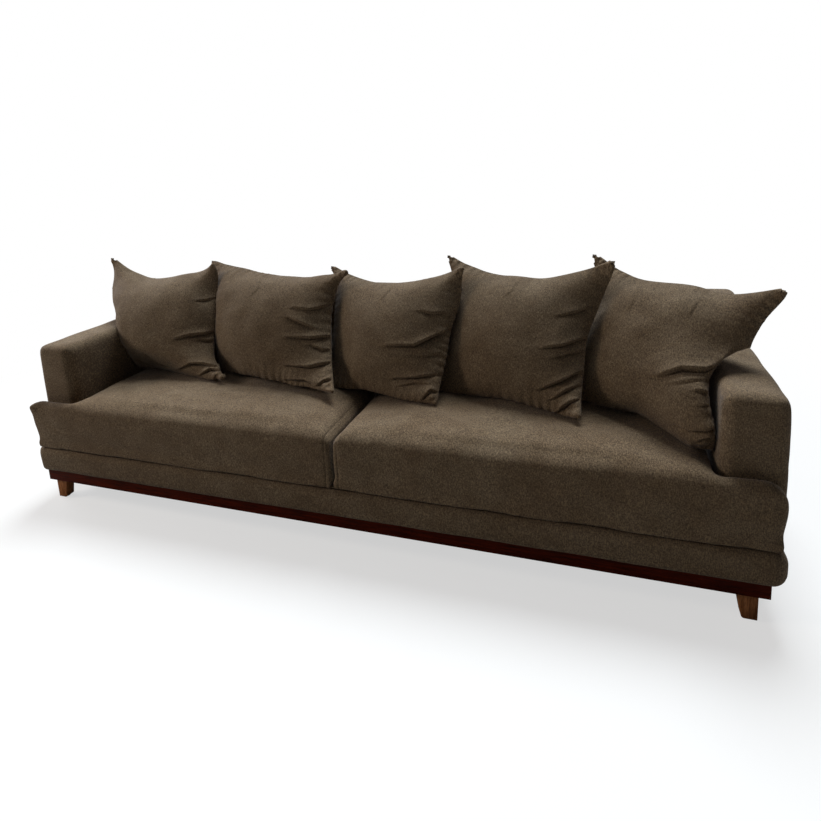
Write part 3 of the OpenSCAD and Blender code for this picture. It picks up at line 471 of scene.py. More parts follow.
def cloth():
    """The material of the covers, made once."""
    return bpy.data.materials.get(CLOTH_NAME) or cover_cloth()


def floor_finish():
    """Matt white studio floor: plain, and it keeps the shadow."""
    material, tree, place = empty_material("matt_white_floor")
    rays = node(tree, "ShaderNodeLightPath", 0, {}).node.outputs
    body = node(tree, "ShaderNodeBsdfDiffuse", 0, {"Color": srgb("#9c9894")})
    bright = node(tree, "ShaderNodeBsdfDiffuse", 0, {"Color": srgb("#fafafa")})
    glow = node(tree, "ShaderNodeEmission", 0, {"Color": (1, 1, 1, 1), "Strength": 1.0})
    away = node(tree, "ShaderNodeVectorMath", "Value", {0: place}, operation="LENGTH")
    plain = node(tree, "ShaderNodeMapRange", 0, {
        "Value": away, "From Min": 1.2, "From Max": 3.0, "To Min": 0.6, "To Max": 1.0,
    }, interpolation_type="SMOOTHSTEP")
    lit = node(tree, "ShaderNodeMixShader", 0, {0: plain, 1: bright, 2: glow})
    both = node(tree, "ShaderNodeMixShader", 0, {0: rays["Is Camera Ray"], 1: body, 2: lit})
    node(tree, "ShaderNodeOutputMaterial", None, {"Surface": both})
    return material


def fading(distance, reach):
    """A share that falls from 1 to 0 over a reach."""
    return np.clip(1 - distance / reach, 0, 1)


def nearness(distance, reach):
    """A share that is 1 at no distance and dies away softly beyond the reach."""
    return np.exp(-((distance / reach) ** 2))


def coordinates(mesh):
    """A mesh's points as an array."""
    co = np.empty(len(mesh.vertices) * 3)
    mesh.vertices.foreach_get("co", co)
    return co.reshape(-1, 3)


def set_coordinates(mesh, co):
    mesh.vertices.foreach_set("co", co.reshape(-1))
    mesh.update()


def normals_of(mesh):
    n = np.empty(len(mesh.vertices) * 3)
    mesh.vertex_normals.foreach_get("vector", n)
    return n.reshape(-1, 3)


def placed(name, data):
    """A new object in the scene."""
    made = bpy.data.objects.new(name, data)
    bpy.context.scene.collection.objects.link(made)
    return made


def mesh_of(name, bm):
    """Turns a bmesh into a mesh and frees it."""
    mesh = bpy.data.meshes.new(name)
    bm.to_mesh(mesh)
    bm.free()
    return mesh


def new_piece(name, bm, material, body, slot, *nodes):
    """Makes an object from a bmesh, in place, with its material, its body and the nodes it stands for. slot is not
    used.
    """
    piece = placed(name, mesh_of(name, bm))
    piece.data.materials.append(material)
    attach(piece, body)
    if nodes:
        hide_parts(*nodes)
    return piece


def smooth_faces(mesh):
    mesh.polygons.foreach_set("use_smooth", [True] * len(mesh.polygons))


def settle_modifiers(piece):
    """Applies what modifiers a piece has."""
    graph = bpy.context.evaluated_depsgraph_get()
    mesh = bpy.data.meshes.new_from_object(piece.evaluated_get(graph), depsgraph=graph)
    old = piece.data
    piece.modifiers.clear()
    piece.data = mesh
    bpy.data.meshes.remove(old)
    return piece.data


def outer_skin(name):
    """The outside of a CAD cover as a closed bmesh: the faces that look out, with the openings filled."""
    bm = bmesh.new()
    bm.from_mesh(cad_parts[name].data)
    bmesh.ops.remove_doubles(bm, verts=bm.verts, dist=1e-5)
    tree = BVHTree.FromBMesh(bm)
    inner = []
    for face in bm.faces:
        start = face.calc_center_median() + face.normal * 1e-5
        if tree.ray_cast(start, face.normal)[0] is not None:
            inner.append(face)
    bmesh.ops.delete(bm, geom=inner, context="FACES")
    bmesh.ops.delete(bm, geom=[v for v in bm.verts if not v.link_faces], context="VERTS")
    bmesh.ops.holes_fill(bm, edges=[e for e in bm.edges if e.is_boundary], sides=0)
    bmesh.ops.triangulate(bm, faces=[f for f in bm.faces if len(f.verts) > 4])
    bmesh.ops.recalc_face_normals(bm, faces=bm.faces)
    return bm


def remesh(piece, cell):
    """Even small cells, which cloth can be simulated on."""
    step = piece.modifiers.new("Cells", "REMESH")
    step.mode = "VOXEL"
    step.voxel_size = cell
    return settle_modifiers(piece)


def relax(mesh, rounds, factor=0.5, keep=None):
    """Smooths a mesh. keep is a share from 0 to 1 for each point that holds it where it is."""
    edges = np.empty(len(mesh.edges) * 2, int)
    mesh.edges.foreach_get("vertices", edges)
    edges = edges.reshape(-1, 2)
    co = coordinates(mesh)
    count = np.bincount(edges.reshape(-1), minlength=len(co))[:, None]
    move = factor if keep is None else factor * (1 - keep)[:, None]
    for _ in range(rounds):
        total = np.zeros_like(co)
        for axis in range(3):
            ahead = np.bincount(edges[:, 0], co[edges[:, 1], axis], len(co))
            total[:, axis] = ahead + np.bincount(edges[:, 1], co[edges[:, 0], axis], len(co))
        co += move * (total / np.maximum(count, 1) - co)
    set_coordinates(mesh, co)


def fill_out(piece, pressure, cap, held=0.0, stiffness=15.0, rounds=20):
    """Fills a closed cover with air as cloth, and keeps each point within cap of where it was.

    held is a share from 0 to 1, for all points or for each, that stays where it was.
    """
    scene = bpy.context.scene
    scene.frame_set(1)
    before = coordinates(piece.data)
    step = piece.modifiers.new("Cloth", "CLOTH")
    fabric = step.settings
    fabric.quality = 4
    fabric.mass = 0.3
    fabric.tension_stiffness = fabric.compression_stiffness = stiffness
    fabric.shear_stiffness = 5
    fabric.bending_stiffness = 0.5
    fabric.use_pressure = True
    fabric.uniform_pressure_force = pressure
    fabric.effector_weights.gravity = 0
    step.collision_settings.use_collision = False
    step.point_cache.frame_start = 1
    step.point_cache.frame_end = rounds
    for number in range(1, rounds + 1):
        scene.frame_set(number)
    mesh = settle_modifiers(piece)
    scene.frame_set(1)
    move = coordinates(mesh) - before
    far = np.linalg.norm(move, axis=1, keepdims=True)
    move *= np.minimum(1, cap / np.maximum(far, 1e-9)) * (1 - 0.25 * np.minimum(1, far / cap))
    set_coordinates(mesh, before + move * (1 - held))


def subdivide(piece, levels=1):
    """Finer cells on the same form."""
    step = piece.modifiers.new("Finer", "SUBSURF")
    step.levels = step.render_levels = levels
    return settle_modifiers(piece)


def round_edge(co, radius, first, second):
    """Rounds the edge where two walls meet, each given as its axis, its place and the way that it faces."""
    (i, place_i, way_i), (j, place_j, way_j) = first, second
    off_i, off_j = way_i * (place_i - co[:, i]), way_j * (place_j - co[:, j])
    in_i, in_j = radius - off_i, radius - off_j
    far = np.hypot(in_i, in_j)
    over = (in_i > 0) & (in_j > 0) & (far > radius)
    share = np.where(over, radius / np.maximum(far, 1e-9), 1.0)
    near = off_i < radius
    co[near, i] = (place_i - way_i * (radius - in_i * share))[near]
    co[near, j] = (place_j - way_j * (radius - in_j * share))[near]


def waves(co, mm, seed):
    """A smooth uneven value from -1 to 1 over the points, with swells some millimetres apart."""
    rng = np.random.default_rng(seed)
    total = np.zeros(len(co))
    for _ in range(7):
        way = rng.normal(size=3)
        way /= np.linalg.norm(way)
        waves_per_m = 2 * MM_PER_M * math.pi / mm * rng.uniform(0.7, 1.4)
        total += np.sin(co @ way * waves_per_m + rng.uniform(0, 6.3))
    return np.tanh(total / 2.6)


def line_gap(points, line):
    """Distance of each point from a line of points in the plane, its share along it, and the side it is on."""
    line = np.array(line, float)
    best = np.full(len(points), 1e9)
    share = np.zeros(len(points))
    side = np.ones(len(points))
    steps = np.linalg.norm(np.diff(line, axis=0), axis=1)
    run = 0.0
    for start, end, step in zip(line[:-1], line[1:], steps):
        along = np.clip((points - start) @ (end - start) / step**2, 0, 1)
        off = points - (start + along[:, None] * (end - start))
        gap = np.linalg.norm(off, axis=1)
        near = gap < best
        best = np.where(near, gap, best)
        share = np.where(near, (run + along * step) / steps.sum(), share)
        side = np.where(near, np.sign(off[:, 1]), side)
        run += step
    return best, share, side


def padded_cover(name, bm, *nodes, fill, swell=None, rounds=0, cap=0.0):
    """A cover over foam.

    Given a cap, it gets even cells and is filled out as cloth, and otherwise it keeps its own cells.
    """
    piece = new_piece(name, bm, cloth(), "frame", "cloth", *nodes)
    mesh = remesh(piece, bpy.context.scene.sofa_shapes.cover_cell) if cap else piece.data
    co = coordinates(mesh)
    set_coordinates(mesh, co + swell(co) if swell else co)
    relax(mesh, rounds)
    if cap:
        fill_out(piece, FOAM_PRESSURE, cap)
        mesh = subdivide(piece)
    co = coordinates(mesh)
    set_coordinates(mesh, co + normals_of(mesh) * (waves(co, 170, 3) * COVER_UNEVEN)[:, None])
    smooth_faces(mesh)
    return piece


def low_high(name):
    """Lowest and highest corner of a CAD node as arrays."""
    low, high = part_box(name)
    return np.array(low), np.array(high)


class SOFA_OT_stage(bpy.types.Operator):
    """Makes the camera, the pale floor and the soft light."""

    bl_idname = "sofa.stage"
    bl_label = "Stage"

    def execute(self, context):
        self.camera(context.scene)
        self.floor()
        self.surroundings(context.scene)
        self.lamps()
        context.scene.view_settings.view_transform = "Standard"
        return {"FINISHED"}

    def camera(self, scene):
        """The camera, at the eye."""
        right, up, forward = eye_axes()
        data = bpy.data.cameras.new("camera")
        data.lens = FOCAL * data.sensor_width / IMAGE
        data.shift_x = (IMAGE / 2 - MIDDLE[0]) / IMAGE
        data.shift_y = (MIDDLE[1] - IMAGE / 2) / IMAGE
        data.clip_start, data.clip_end = 0.05, 100
        camera = placed("camera", data)
        rows = [(right[i], up[i], -forward[i], EYE[i]) for i in range(3)]
        camera.matrix_world = Matrix(rows + [(0, 0, 0, 1)])
        scene.camera = camera

    def floor(self):
        """The floor that the sofa stands on."""
        bm = bmesh.new()
        bmesh.ops.create_grid(bm, x_segments=1, y_segments=1, size=FLOOR_SIZE)
        floor = placed("floor", mesh_of("floor", bm))
        floor.data.materials.append(floor_finish())

    def surroundings(self, scene):
        """White where they are seen, and dim in what they light."""
        world = bpy.data.worlds.new("studio")
        scene.world = world
        world.use_nodes = True
        tree = world.node_tree
        tree.nodes.clear()
        rays = node(tree, "ShaderNodeLightPath", 0, {}).node.outputs
        shows = node(tree, "ShaderNodeMath", 0, {
            0: rays["Is Camera Ray"], 1: rays["Is Glossy Ray"],
        }, operation="MAXIMUM")
        shows = node(tree, "ShaderNodeMath", 0, {0: shows, 1: rays["Is Transmission Ray"]}, operation="MAXIMUM")
        dim = node(tree, "ShaderNodeBackground", 0, {"Color": srgb("#eef1f5"), "Strength": 0.03})
        white = node(tree, "ShaderNodeBackground", 0, {"Color": (1, 1, 1, 1), "Strength": 1.0})
        both = node(tree, "ShaderNodeMixShader", 0, {0: shows, 1: dim, 2: white})
        node(tree, "ShaderNodeOutputWorld", None, {"Surface": both})

    def lamps(self):
        """A wide light from above and behind, and two from the left."""
        # Kind, name, place, target, width, depth, power, colour. The sun's width is the angle that it fills, in degrees
        lamps = (
            ("SUN", "skylight", (-0.1, 2.6, 4.9), (0.0, 0.0, 0.4), 30, 0, 3.6, "#f4fbff"),
            ("AREA", "window", (-4.4, 0.5, 2.0), (0.6, 0.0, 0.6), 1.6, 1.4, 42, "#f2f6ff"),
            ("AREA", "side", (-4.6, -1.6, 2.4), (-0.6, 0.0, 0.6), 1.2, 1.2, 74, "#fff2e4"),
        )
        for kind, name, at, target, width, depth, power, tint in lamps:
            light = bpy.data.lights.new(name, kind)
            if kind == "SUN":
                light.angle = math.radians(width)
            else:
                light.shape = "RECTANGLE"
                light.size, light.size_y = width, depth
            light.energy = power
            light.color = srgb(tint)[:3]
            lamp = placed(name, light)
            lamp.location = at
            lamp.rotation_euler = (Vector(target) - Vector(at)).to_track_quat("-Z", "Y").to_euler()


def box_bmesh(low, high):
    """A box between two corners."""
    bm = bmesh.new()
    bmesh.ops.create_cube(bm, size=1)
    bmesh.ops.scale(bm, vec=Vector(high) - Vector(low), verts=bm.verts)
    bmesh.ops.translate(bm, vec=(Vector(high) + Vector(low)) / 2, verts=bm.verts)
    return bm


def add_block(bm, size, middle):
    """Adds a block round its middle."""
    bmesh.ops.create_cube(bm, size=1, matrix=Matrix.Translation(middle) @ Matrix.Diagonal((*size, 1)))


def round_edges(bm, edges, radius, segments, clamped=False):
    """Rounds some edges."""
    bmesh.ops.bevel(
        bm, geom=edges, offset=radius, offset_type="OFFSET", segments=segments,
        profile=0.5, affect="EDGES", material=-1, clamp_overlap=clamped,
    )


def ease_edges(bm, radius, segments=3):
    """Rounds every edge sharper than 20 degrees."""
    sharp = [e for e in bm.edges if len(e.link_faces) == 2 and e.calc_face_angle() > math.radians(20)]
    round_edges(bm, sharp, radius, segments, clamped=True)


def cut_across(bm, axis, place, merge=0.0):
    """Cuts a row of points round a bmesh at a place along an axis. Points closer to it than merge count as on it."""
    way = Vector([float(i == axis) for i in range(3)])
    geom = bm.verts[:] + bm.edges[:] + bm.faces[:]
    bmesh.ops.bisect_plane(bm, geom=geom, dist=merge, plane_co=way * place, plane_no=way)


def slice_even(bm, step, axes=(0, 1)):
    """Cuts a piece into even strips along some axes."""
    for axis in axes:
        low = min(v.co[axis] for v in bm.verts)
        high = max(v.co[axis] for v in bm.verts)
        parts = max(2, round((high - low) / step))
        for i in range(1, parts):
            cut_across(bm, axis, low + (high - low) * i / parts)


def cut_rows(mesh, axis, places):
    """Cuts rows of points round a mesh at places along an axis."""
    bm = bmesh.new()
    bm.from_mesh(mesh)
    for place in places:
        cut_across(bm, axis, place, MERGE)
    bm.to_mesh(mesh)
    bm.free()


class SOFA_OT_woodwork(bpy.types.Operator):
    """Makes the plinth boards and the legs, with eased edges and grain."""

    bl_idname = "sofa.woodwork"
    bl_label = "Plinth and legs"

    def execute(self, context):
        shapes, colours = context.scene.sofa_shapes, context.scene.sofa_colours
        light, dark = tuple(colours.mahogany_light), tuple(colours.mahogany_dark)
        # Stained mahogany: dark red brown, close straight grain along each board, satin lacquer
        for axis, names in ((0, ("plinth_front", "plinth_rear")), (1, ("plinth_left", "plinth_right"))):
            finish = wood(f"satin_mahogany_{'xy'[axis]}", light, dark, along=axis, figure=7, coat=0.0)
            for name in names:
                bm = box_bmesh(*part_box(name))
                ease_edges(bm, shapes.board_edge)
                smooth_faces(new_piece(name + "_board", bm, finish, "frame", "mahogany", name).data)
        # Oiled hardwood: mid brown, upright grain, pale at its rubbed edges
        light, dark = tuple(colours.leg_light), tuple(colours.leg_dark)
        leg_finish = wood("oiled_hardwood", light, dark, along=2, figure=6, coat=0.04)
        for name in ("leg_front_left", "leg_front_right", "leg_rear_left", "leg_rear_right", "leg_centre"):
            bm = outer_skin(name)
            bmesh.ops.dissolve_limit(bm, angle_limit=math.radians(2), verts=bm.verts, edges=bm.edges)
            ease_edges(bm, shapes.board_edge)
            smooth_faces(new_piece(name + "_block", bm, leg_finish, "frame", "leg_wood", name).data)
        return {"FINISHED"}


class SOFA_OT_hidden_stock(bpy.types.Operator):
    """Gives the frame, the fixings, the foam and the fillings their finishes."""

    bl_idname = "sofa.hidden_stock"
    bl_label = "Frame and fillings"

    def execute(self, context):
        kinds = (
            ("steel", ("leg_bolts", "frame_bolts")),
            ("felt", ("leg_glides", "deck_pad")),
            ("webbing", ("seat_webbing_lengthwise", "seat_webbing_crosswise", "back_webbing")),
            ("ply", (
                "arm_left_end_panels", "arm_left_side_boards", "arm_right_end_panels", "arm_right_side_boards",
                "back_ribs", "back_boards",
            )),
            ("foam", (
                "base_padding", "arm_left_padding", "arm_right_padding", "back_padding",
                "seat_cushion_left_core", "seat_cushion_right_core",
            )),
            ("wadding", tuple(f"pillow_{i}_filling" for i in range(1, 6))),
            ("black_cloth", ("dust_cover", "seat_cushion_left_zip", "seat_cushion_right_zip")),
        )
        chosen = {name: slot for slot, names in kinds for name in names}
        for name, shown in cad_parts.items():
            if name.endswith("_cover") and name != "dust_cover":
                finish = cloth()
            elif name.startswith("plinth_") and name != "plinth_cross":
                finish = bpy.data.materials["satin_mahogany_x"]
            elif name.startswith("leg_") and name not in ("leg_blocks", "leg_bolts", "leg_glides"):
                finish = bpy.data.materials["oiled_hardwood"]
            else:
                finish = stock_material(chosen.get(name, "pine"))
            shown.data.materials.clear()
            shown.data.materials.append(finish)
        return {"FINISHED"}


class SOFA_OT_covers(bpy.types.Operator):
    """Makes the covers of the base, the arms and the back."""

    bl_idname = "sofa.covers"
    bl_label = "Base, arms and back"

    def execute(self, context):
        self.base()
        for name in ("left", "right"):
            self.arm(name)
        self.back()
        self.rear_panel()
        return {"FINISHED"}

    def base(self):
        """The band round the base, swollen between its seams and turned in at both."""
        low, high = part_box("base_cover")
        bulge = Vector((BAND_SWELL, BAND_SWELL, 0))
        groove = Vector((0, 0, BAND_GROOVE))
        bm = box_bmesh(low + bulge, high - bulge - groove)
        upright = [e for e in bm.edges if abs(e.verts[0].co.z - e.verts[1].co.z) > MERGE]
        round_edges(bm, upright, BAND_CORNER, ROUND_STEPS)
        slice_even(bm, 0.05, (0, 1))
        slice_even(bm, 0.0045, (2,))
        middle, half = (low.z + high.z - groove.z) / 2, (high.z - groove.z - low.z) / 2

        def swell(co):
            out = np.zeros_like(co)
            level = (co[:, 2] - middle) / half
            for axis, square, most in ((0, 3.2, BAND_END_SWELL), (1, 5, BAND_SWELL)):
                up = np.clip(1 - np.abs(level) ** square, 0, 1) ** 0.8 * most
                if axis == 0:
                    # The left end runs straight in towards the plinth
                    straight = 0.002 + 0.007 * (1 + level) * np.clip((1 - level) * 10, 0, 1) ** 0.5
                    up = np.where(co[:, 0] < 0, straight, up)
                behind = high[axis] - bulge[axis] - np.abs(co[:, axis])
                out[:, axis] = np.sign(co[:, axis]) * up * fading(behind, BAND_REACH)
            return out

        padded_cover("base_band", bm, "base_cover", "base_padding", fill=0.9, swell=swell)

    def arm(self, name):
        """A boxy arm with rounded edges, whose rear end follows the rake of the back."""
        low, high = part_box(f"arm_{name}_cover")
        swollen = Vector((ARM_SWELL, 0, 0))
        bm = box_bmesh(low + swollen, high - swollen)
        foot_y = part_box("back_cover")[0].y
        for v in bm.verts:
            if v.co.y > 0:
                v.co.y = foot_y if v.co.z < (low.z + high.z) / 2 else high.y

        def rounded(edge):
            ends = [v.co for v in edge.verts]
            in_front = max(end.y for end in ends) < 0
            lengthwise = abs(ends[0].y - ends[1].y) > abs(ends[0].z - ends[1].z)
            return max(end.z for end in ends) > high.z - ARM_EDGE and (in_front or lengthwise)

        round_edges(bm, [e for e in bm.edges if rounded(e)], ARM_EDGE, ROUND_STEPS)

        def swell(co):
            share = np.clip((co[:, 2] - low.z) / (high.z - 0.03 - low.z), 0, 1)
            out = np.zeros_like(co)
            out[:, 0] = np.sign(co[:, 0] - (low.x + high.x) / 2) * 4 * swollen.x * share * (1 - share)
            return out

        nodes = (f"arm_{name}_cover", f"arm_{name}_padding")
        padded_cover(f"arm_{name}", bm, *nodes, fill=0.85, swell=swell, rounds=3, cap=ARM_CAP)

    def back(self):
        """The low back, raked in front, with round top edges."""
        low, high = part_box("back_cover")
        bm = box_bmesh(low, high - Vector((0, REAR_PANEL_GAP, 0)))
        for v in bm.verts:
            if v.co.y < (low.y + high.y) / 2 and v.co.z > (low.z + high.z) / 2:
                v.co.y += math.tan(BACK_RAKE) * (high.z - low.z)
        top = [e for e in bm.edges if max(v.co.z for v in e.verts) > high.z - BACK_EDGE]
        round_edges(bm, top, BACK_EDGE, ROUND_STEPS)
        slice_even(bm, 0.035, (0, 2))
        padded_cover("back_skin", bm, "back_cover", "back_padding", fill=0.85)

    def rear_panel(self):
        """The cloth that closes the rear of the back."""
        low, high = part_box("back_rear_cover")
        bm = box_bmesh(low, high)
        slice_even(bm, 0.06, (0, 2))
        panel = new_piece("back_rear_panel", bm, cloth(), "frame", "cloth", "back_rear_cover")
        co = coordinates(panel.data)
        edge = np.min([co[:, 0] - low.x, high.x - co[:, 0], co[:, 2] - low.z, high.z - co[:, 2]], axis=0)
        co[:, 1] += REAR_PANEL_SWELL * np.clip(edge / REAR_PANEL_RIM, 0, 1) + 0.0006 * waves(co, 300, 8)
        set_coordinates(panel.data, co)
        smooth_faces(panel.data)


class SOFA_OT_deck(bpy.types.Operator):
    """Makes the deck under the seat cushions and the cloth under the frame."""

    bl_idname = "sofa.deck"
    bl_label = "Deck and dust cover"

    def execute(self, context):
        self.deck()
        self.dust_cloth()
        return {"FINISHED"}

    def deck(self):
        """The pad and the cloth on the straps, which sag a little in the middle."""
        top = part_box("deck_cover")[1].z
        bm = outer_skin("deck_pad")
        high = max(v.co.z for v in bm.verts)
        for v in bm.verts:
            if v.co.z > high - 10 * MERGE:
                v.co.z = top
        bmesh.ops.dissolve_limit(bm, angle_limit=0.01, verts=bm.verts, edges=bm.edges)
        slice_even(bm, 0.05)
        for v in bm.verts:
            if v.co.z > top - 10 * MERGE:
                along, across = v.co.x / 1.25, (v.co.y + 0.13) / 0.3
                v.co.z -= DECK_SAG * max(0, 1 - along**4) * max(0, 1 - across**4)
        deck = new_piece("deck", bm, cloth(), "frame", "cloth", "deck_pad", "deck_cover")

    def dust_cloth(self):
        """The cloth stapled under the frame, which hangs down a little between the cross rails."""
        bm = bmesh.new()
        bm.from_mesh(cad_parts["dust_cover"].data)
        bmesh.ops.remove_doubles(bm, verts=bm.verts, dist=MERGE)
        bmesh.ops.dissolve_limit(bm, angle_limit=0.01, verts=bm.verts, edges=bm.edges)
        slice_even(bm, 0.06)
        for v in bm.verts:
            v.co.z -= DUST_SAG * abs(math.sin(v.co.x * 7)) * max(0, 1 - (v.co.y / 0.4) ** 4)
        dust = new_piece("dust_cloth", bm, stock_material("black_cloth"), "frame", "black_cloth", "dust_cover")
        smooth_faces(dust.data)


class SOFA_OT_seat_cushions(bpy.types.Operator):
    """Makes the two seat cushions, crowned, with a soft front edge and end panels."""

    bl_idname = "sofa.seat_cushions"
    bl_label = "Seat cushions"

    def execute(self, context):
        for side, name in ((-1, "left"), (1, "right")):
            self.cushion(context.scene.sofa_shapes, side, name)
        return {"FINISHED"}

    def cushion(self, shapes, side, name):
        """One seat cushion. side is -1 on the left and 1 on the right."""
        cad = f"seat_cushion_{name}_cover"
        nodes = (cad, f"seat_cushion_{name}_core")
        piece = new_piece(f"seat_{name}", outer_skin(cad), cloth(), f"seat_cushion_{name}", "cloth", *nodes)
        low, high = low_high(cad)
        outer = high[0] if side > 0 else -low[0]
        edge_z = low[2] + CUSHION_H
        mesh = remesh(piece, shapes.cushion_cell)
        co = coordinates(mesh)
        self.soften(co, shapes, side, low, outer, edge_z)
        inner = self.set_in_place(co, side, low, outer)
        set_coordinates(mesh, co)
        relax(mesh, 4, keep=np.where((co[:, 2] < low[2] + 0.02) | inner, 0.9, 0))
        co = coordinates(mesh)
        held = np.clip(1.4 - (co[:, 2:] - low[2]) / LIP, 0, 1)
        if side < 0:
            held = np.maximum(held, fading(co[:, :1] - low[0], LEFT_END_HELD))
        fill_out(piece, FOAM_PRESSURE, shapes.cushion_cap, held)
        mesh = subdivide(piece)
        cut_rows(mesh, 0, [side * shapes.seam_in + off for off in SEAM_ROWS])
        cut_rows(mesh, 2, [low[2] + up for up in FOOT_ROWS])
        co = coordinates(mesh)
        self.turn_in_foot(co, side, low, outer)
        if side < 0:
            self.lean_left_end(co, low, edge_z)
        set_coordinates(mesh, co)
        normals = normals_of(mesh)
        # The end panel's seam runs round the cushion, parallel to its inner end
        dip = nearness(np.abs(co[:, 0]) - shapes.seam_in, SEAM_HALF) * shapes.seam_depth
        swell = waves(co, 230, 11 + side) * 0.0028 + waves(co, 75, 5 + side) * 0.0009
        set_coordinates(mesh, co + normals * (swell - dip)[:, None])
        smooth_faces(mesh)

    def soften(self, co, shapes, side, low, outer, edge_z):
        """Rounds the front edge, which is sharper towards the left corner, and the outer end."""
        tip = np.linalg.norm(co - (low[0], low[1], edge_z), axis=1)
        soft = shapes.seat_round * (1 - 0.9 * fading(tip, LEFT_CORNER_REACH) * (side < 0))
        front, end, top = (1, low[1], -1), (0, side * outer, side), (2, edge_z, 1)
        round_edge(co, soft, front, (2, edge_z + FRONT_CREST, 1))
        round_edge(co, shapes.seat_end_round * END_ROUND_TIMES[side], end, top)
        if side > 0:
            round_edge(co, RIGHT_CORNER_ROUND, end, front)
            # The outer end swells between its seams
            middle = 1 - np.abs((co[:, 2] - low[2]) / (CUSHION_H / 2) - 1) ** 2.2
            co[:, 0] += RIGHT_END_SWELL * np.clip(middle, 0, 1) * fading(outer - co[:, 0], RIGHT_END_REACH)

    def set_in_place(self, co, side, low, outer):
        """Brings the front straight down to the band, the inner ends together and the outer foot back over the band.

        Returns which points are on the inner end.
        """
        lip = (co[:, 2] < low[2] + LIP) & (co[:, 1] < low[1] + LIP)
        co[lip, 1] = np.minimum(co[lip, 1], low[1] + LIP_IN)
        inner = side * co[:, 0] < INNER_END
        co[inner, 0] = side * INNER_GAP
        foot = fading(co[:, 2] - low[2], FOOT_H) * fading(outer - side * co[:, 0], FOOT_REACH)
        co[:, 0] -= side * FOOT_IN * foot
        return inner

    def turn_in_foot(self, co, side, low, outer):
        """Turns the front and the outer end in, just over the band."""
        turn = TURN_IN * fading(co[:, 2] - low[2], TURN_H) ** 1.6
        co[:, 1] += turn * np.clip(1.5 - (co[:, 1] - low[1]) / TURN_REACH, 0, 1)
        co[:, 0] -= side * turn * np.clip(1.5 - (outer - TURN_END - side * co[:, 0]) / TURN_REACH, 0, 1)

    def lean_left_end(self, co, low, edge_z):
        """Leans the left end out, straight, up to a pointed front corner."""
        rise = np.clip((co[:, 2] - low[2]) / (edge_z - low[2]), 0, 1)
        near = fading(co[:, 0] - low[0], LEFT_LEAN_X) * fading(co[:, 1] - low[1], LEFT_LEAN_Y)
        co[:, 0] -= LEFT_LEAN * rise * near
        # The furthest point along the way to the tip, of those within 50 mm of the end
        ahead = co @ TIP_WAY - 9 * (co[:, 0] > low[0] + 0.05)
        tip = np.linalg.norm(co - co[np.argmax(ahead)], axis=1)
        co += TIP_WAY * (TIP_PUSH * nearness(tip, TIP_REACH))[:, None]


class SOFA_OT_zips(bpy.types.Operator):
    """Makes the zips in the rear walls of the seat cushions: tape, coil, slider and pull."""

    bl_idname = "sofa.zips"
    bl_label = "Zips"

    def execute(self, context):
        for name in ("left", "right"):
            self.lay(name)
        return {"FINISHED"}

    def lay(self, name):
        """One zip, laid on the rear wall of its cushion."""
        dark, bright = stock_material("black_cloth"), stock_material("steel")
        cad, body = f"seat_cushion_{name}_zip", f"seat_cushion_{name}"
        low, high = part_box(cad)
        middle = (low.z + high.z) / 2
        end = high.x - SLIDER_IN
        tape = box_bmesh((low.x, -ZIP_HALF_T, low.z), (high.x, ZIP_HALF_T, high.z))
        slice_even(tape, 0.012, (0, 2))
        coil = bmesh.new()
        for i in range(int((high.x - low.x - 2 * ZIP_END) / TOOTH_PITCH)):
            at = (low.x + ZIP_END + i * TOOTH_PITCH, TOOTH_OUT, middle + (-1) ** i * TOOTH_UP)
            add_block(coil, TOOTH, at)
        slider = bmesh.new()
        add_block(slider, SLIDER, (end, SLIDER_OUT, middle))
        add_block(slider, PULL, (end - PULL_BACK, PULL_OUT, middle - PULL_DOWN))
        ease_edges(slider, 0.0005, 2)
        wall = surface(f"seat_{name}", (0, 1, 0))[0]
        for bm in (tape, coil, slider):
            for v in bm.verts:
                # The slider keeps its form, and the rest follows the wall
                x, z = (end, middle) if bm is slider else (v.co.x, v.co.z)
                v.co.y += wall.ray_cast(Vector((x, high.y + 0.1, z)), Vector((0, -1, 0)), 0.2)[0].y + ZIP_LIFT
        new_piece(f"zip_{name}_tape", tape, dark, body, "black_cloth", cad)
        new_piece(f"zip_{name}_coil", coil, dark, body, "black_cloth")
        new_piece(f"zip_{name}_slider", slider, bright, body, "steel")


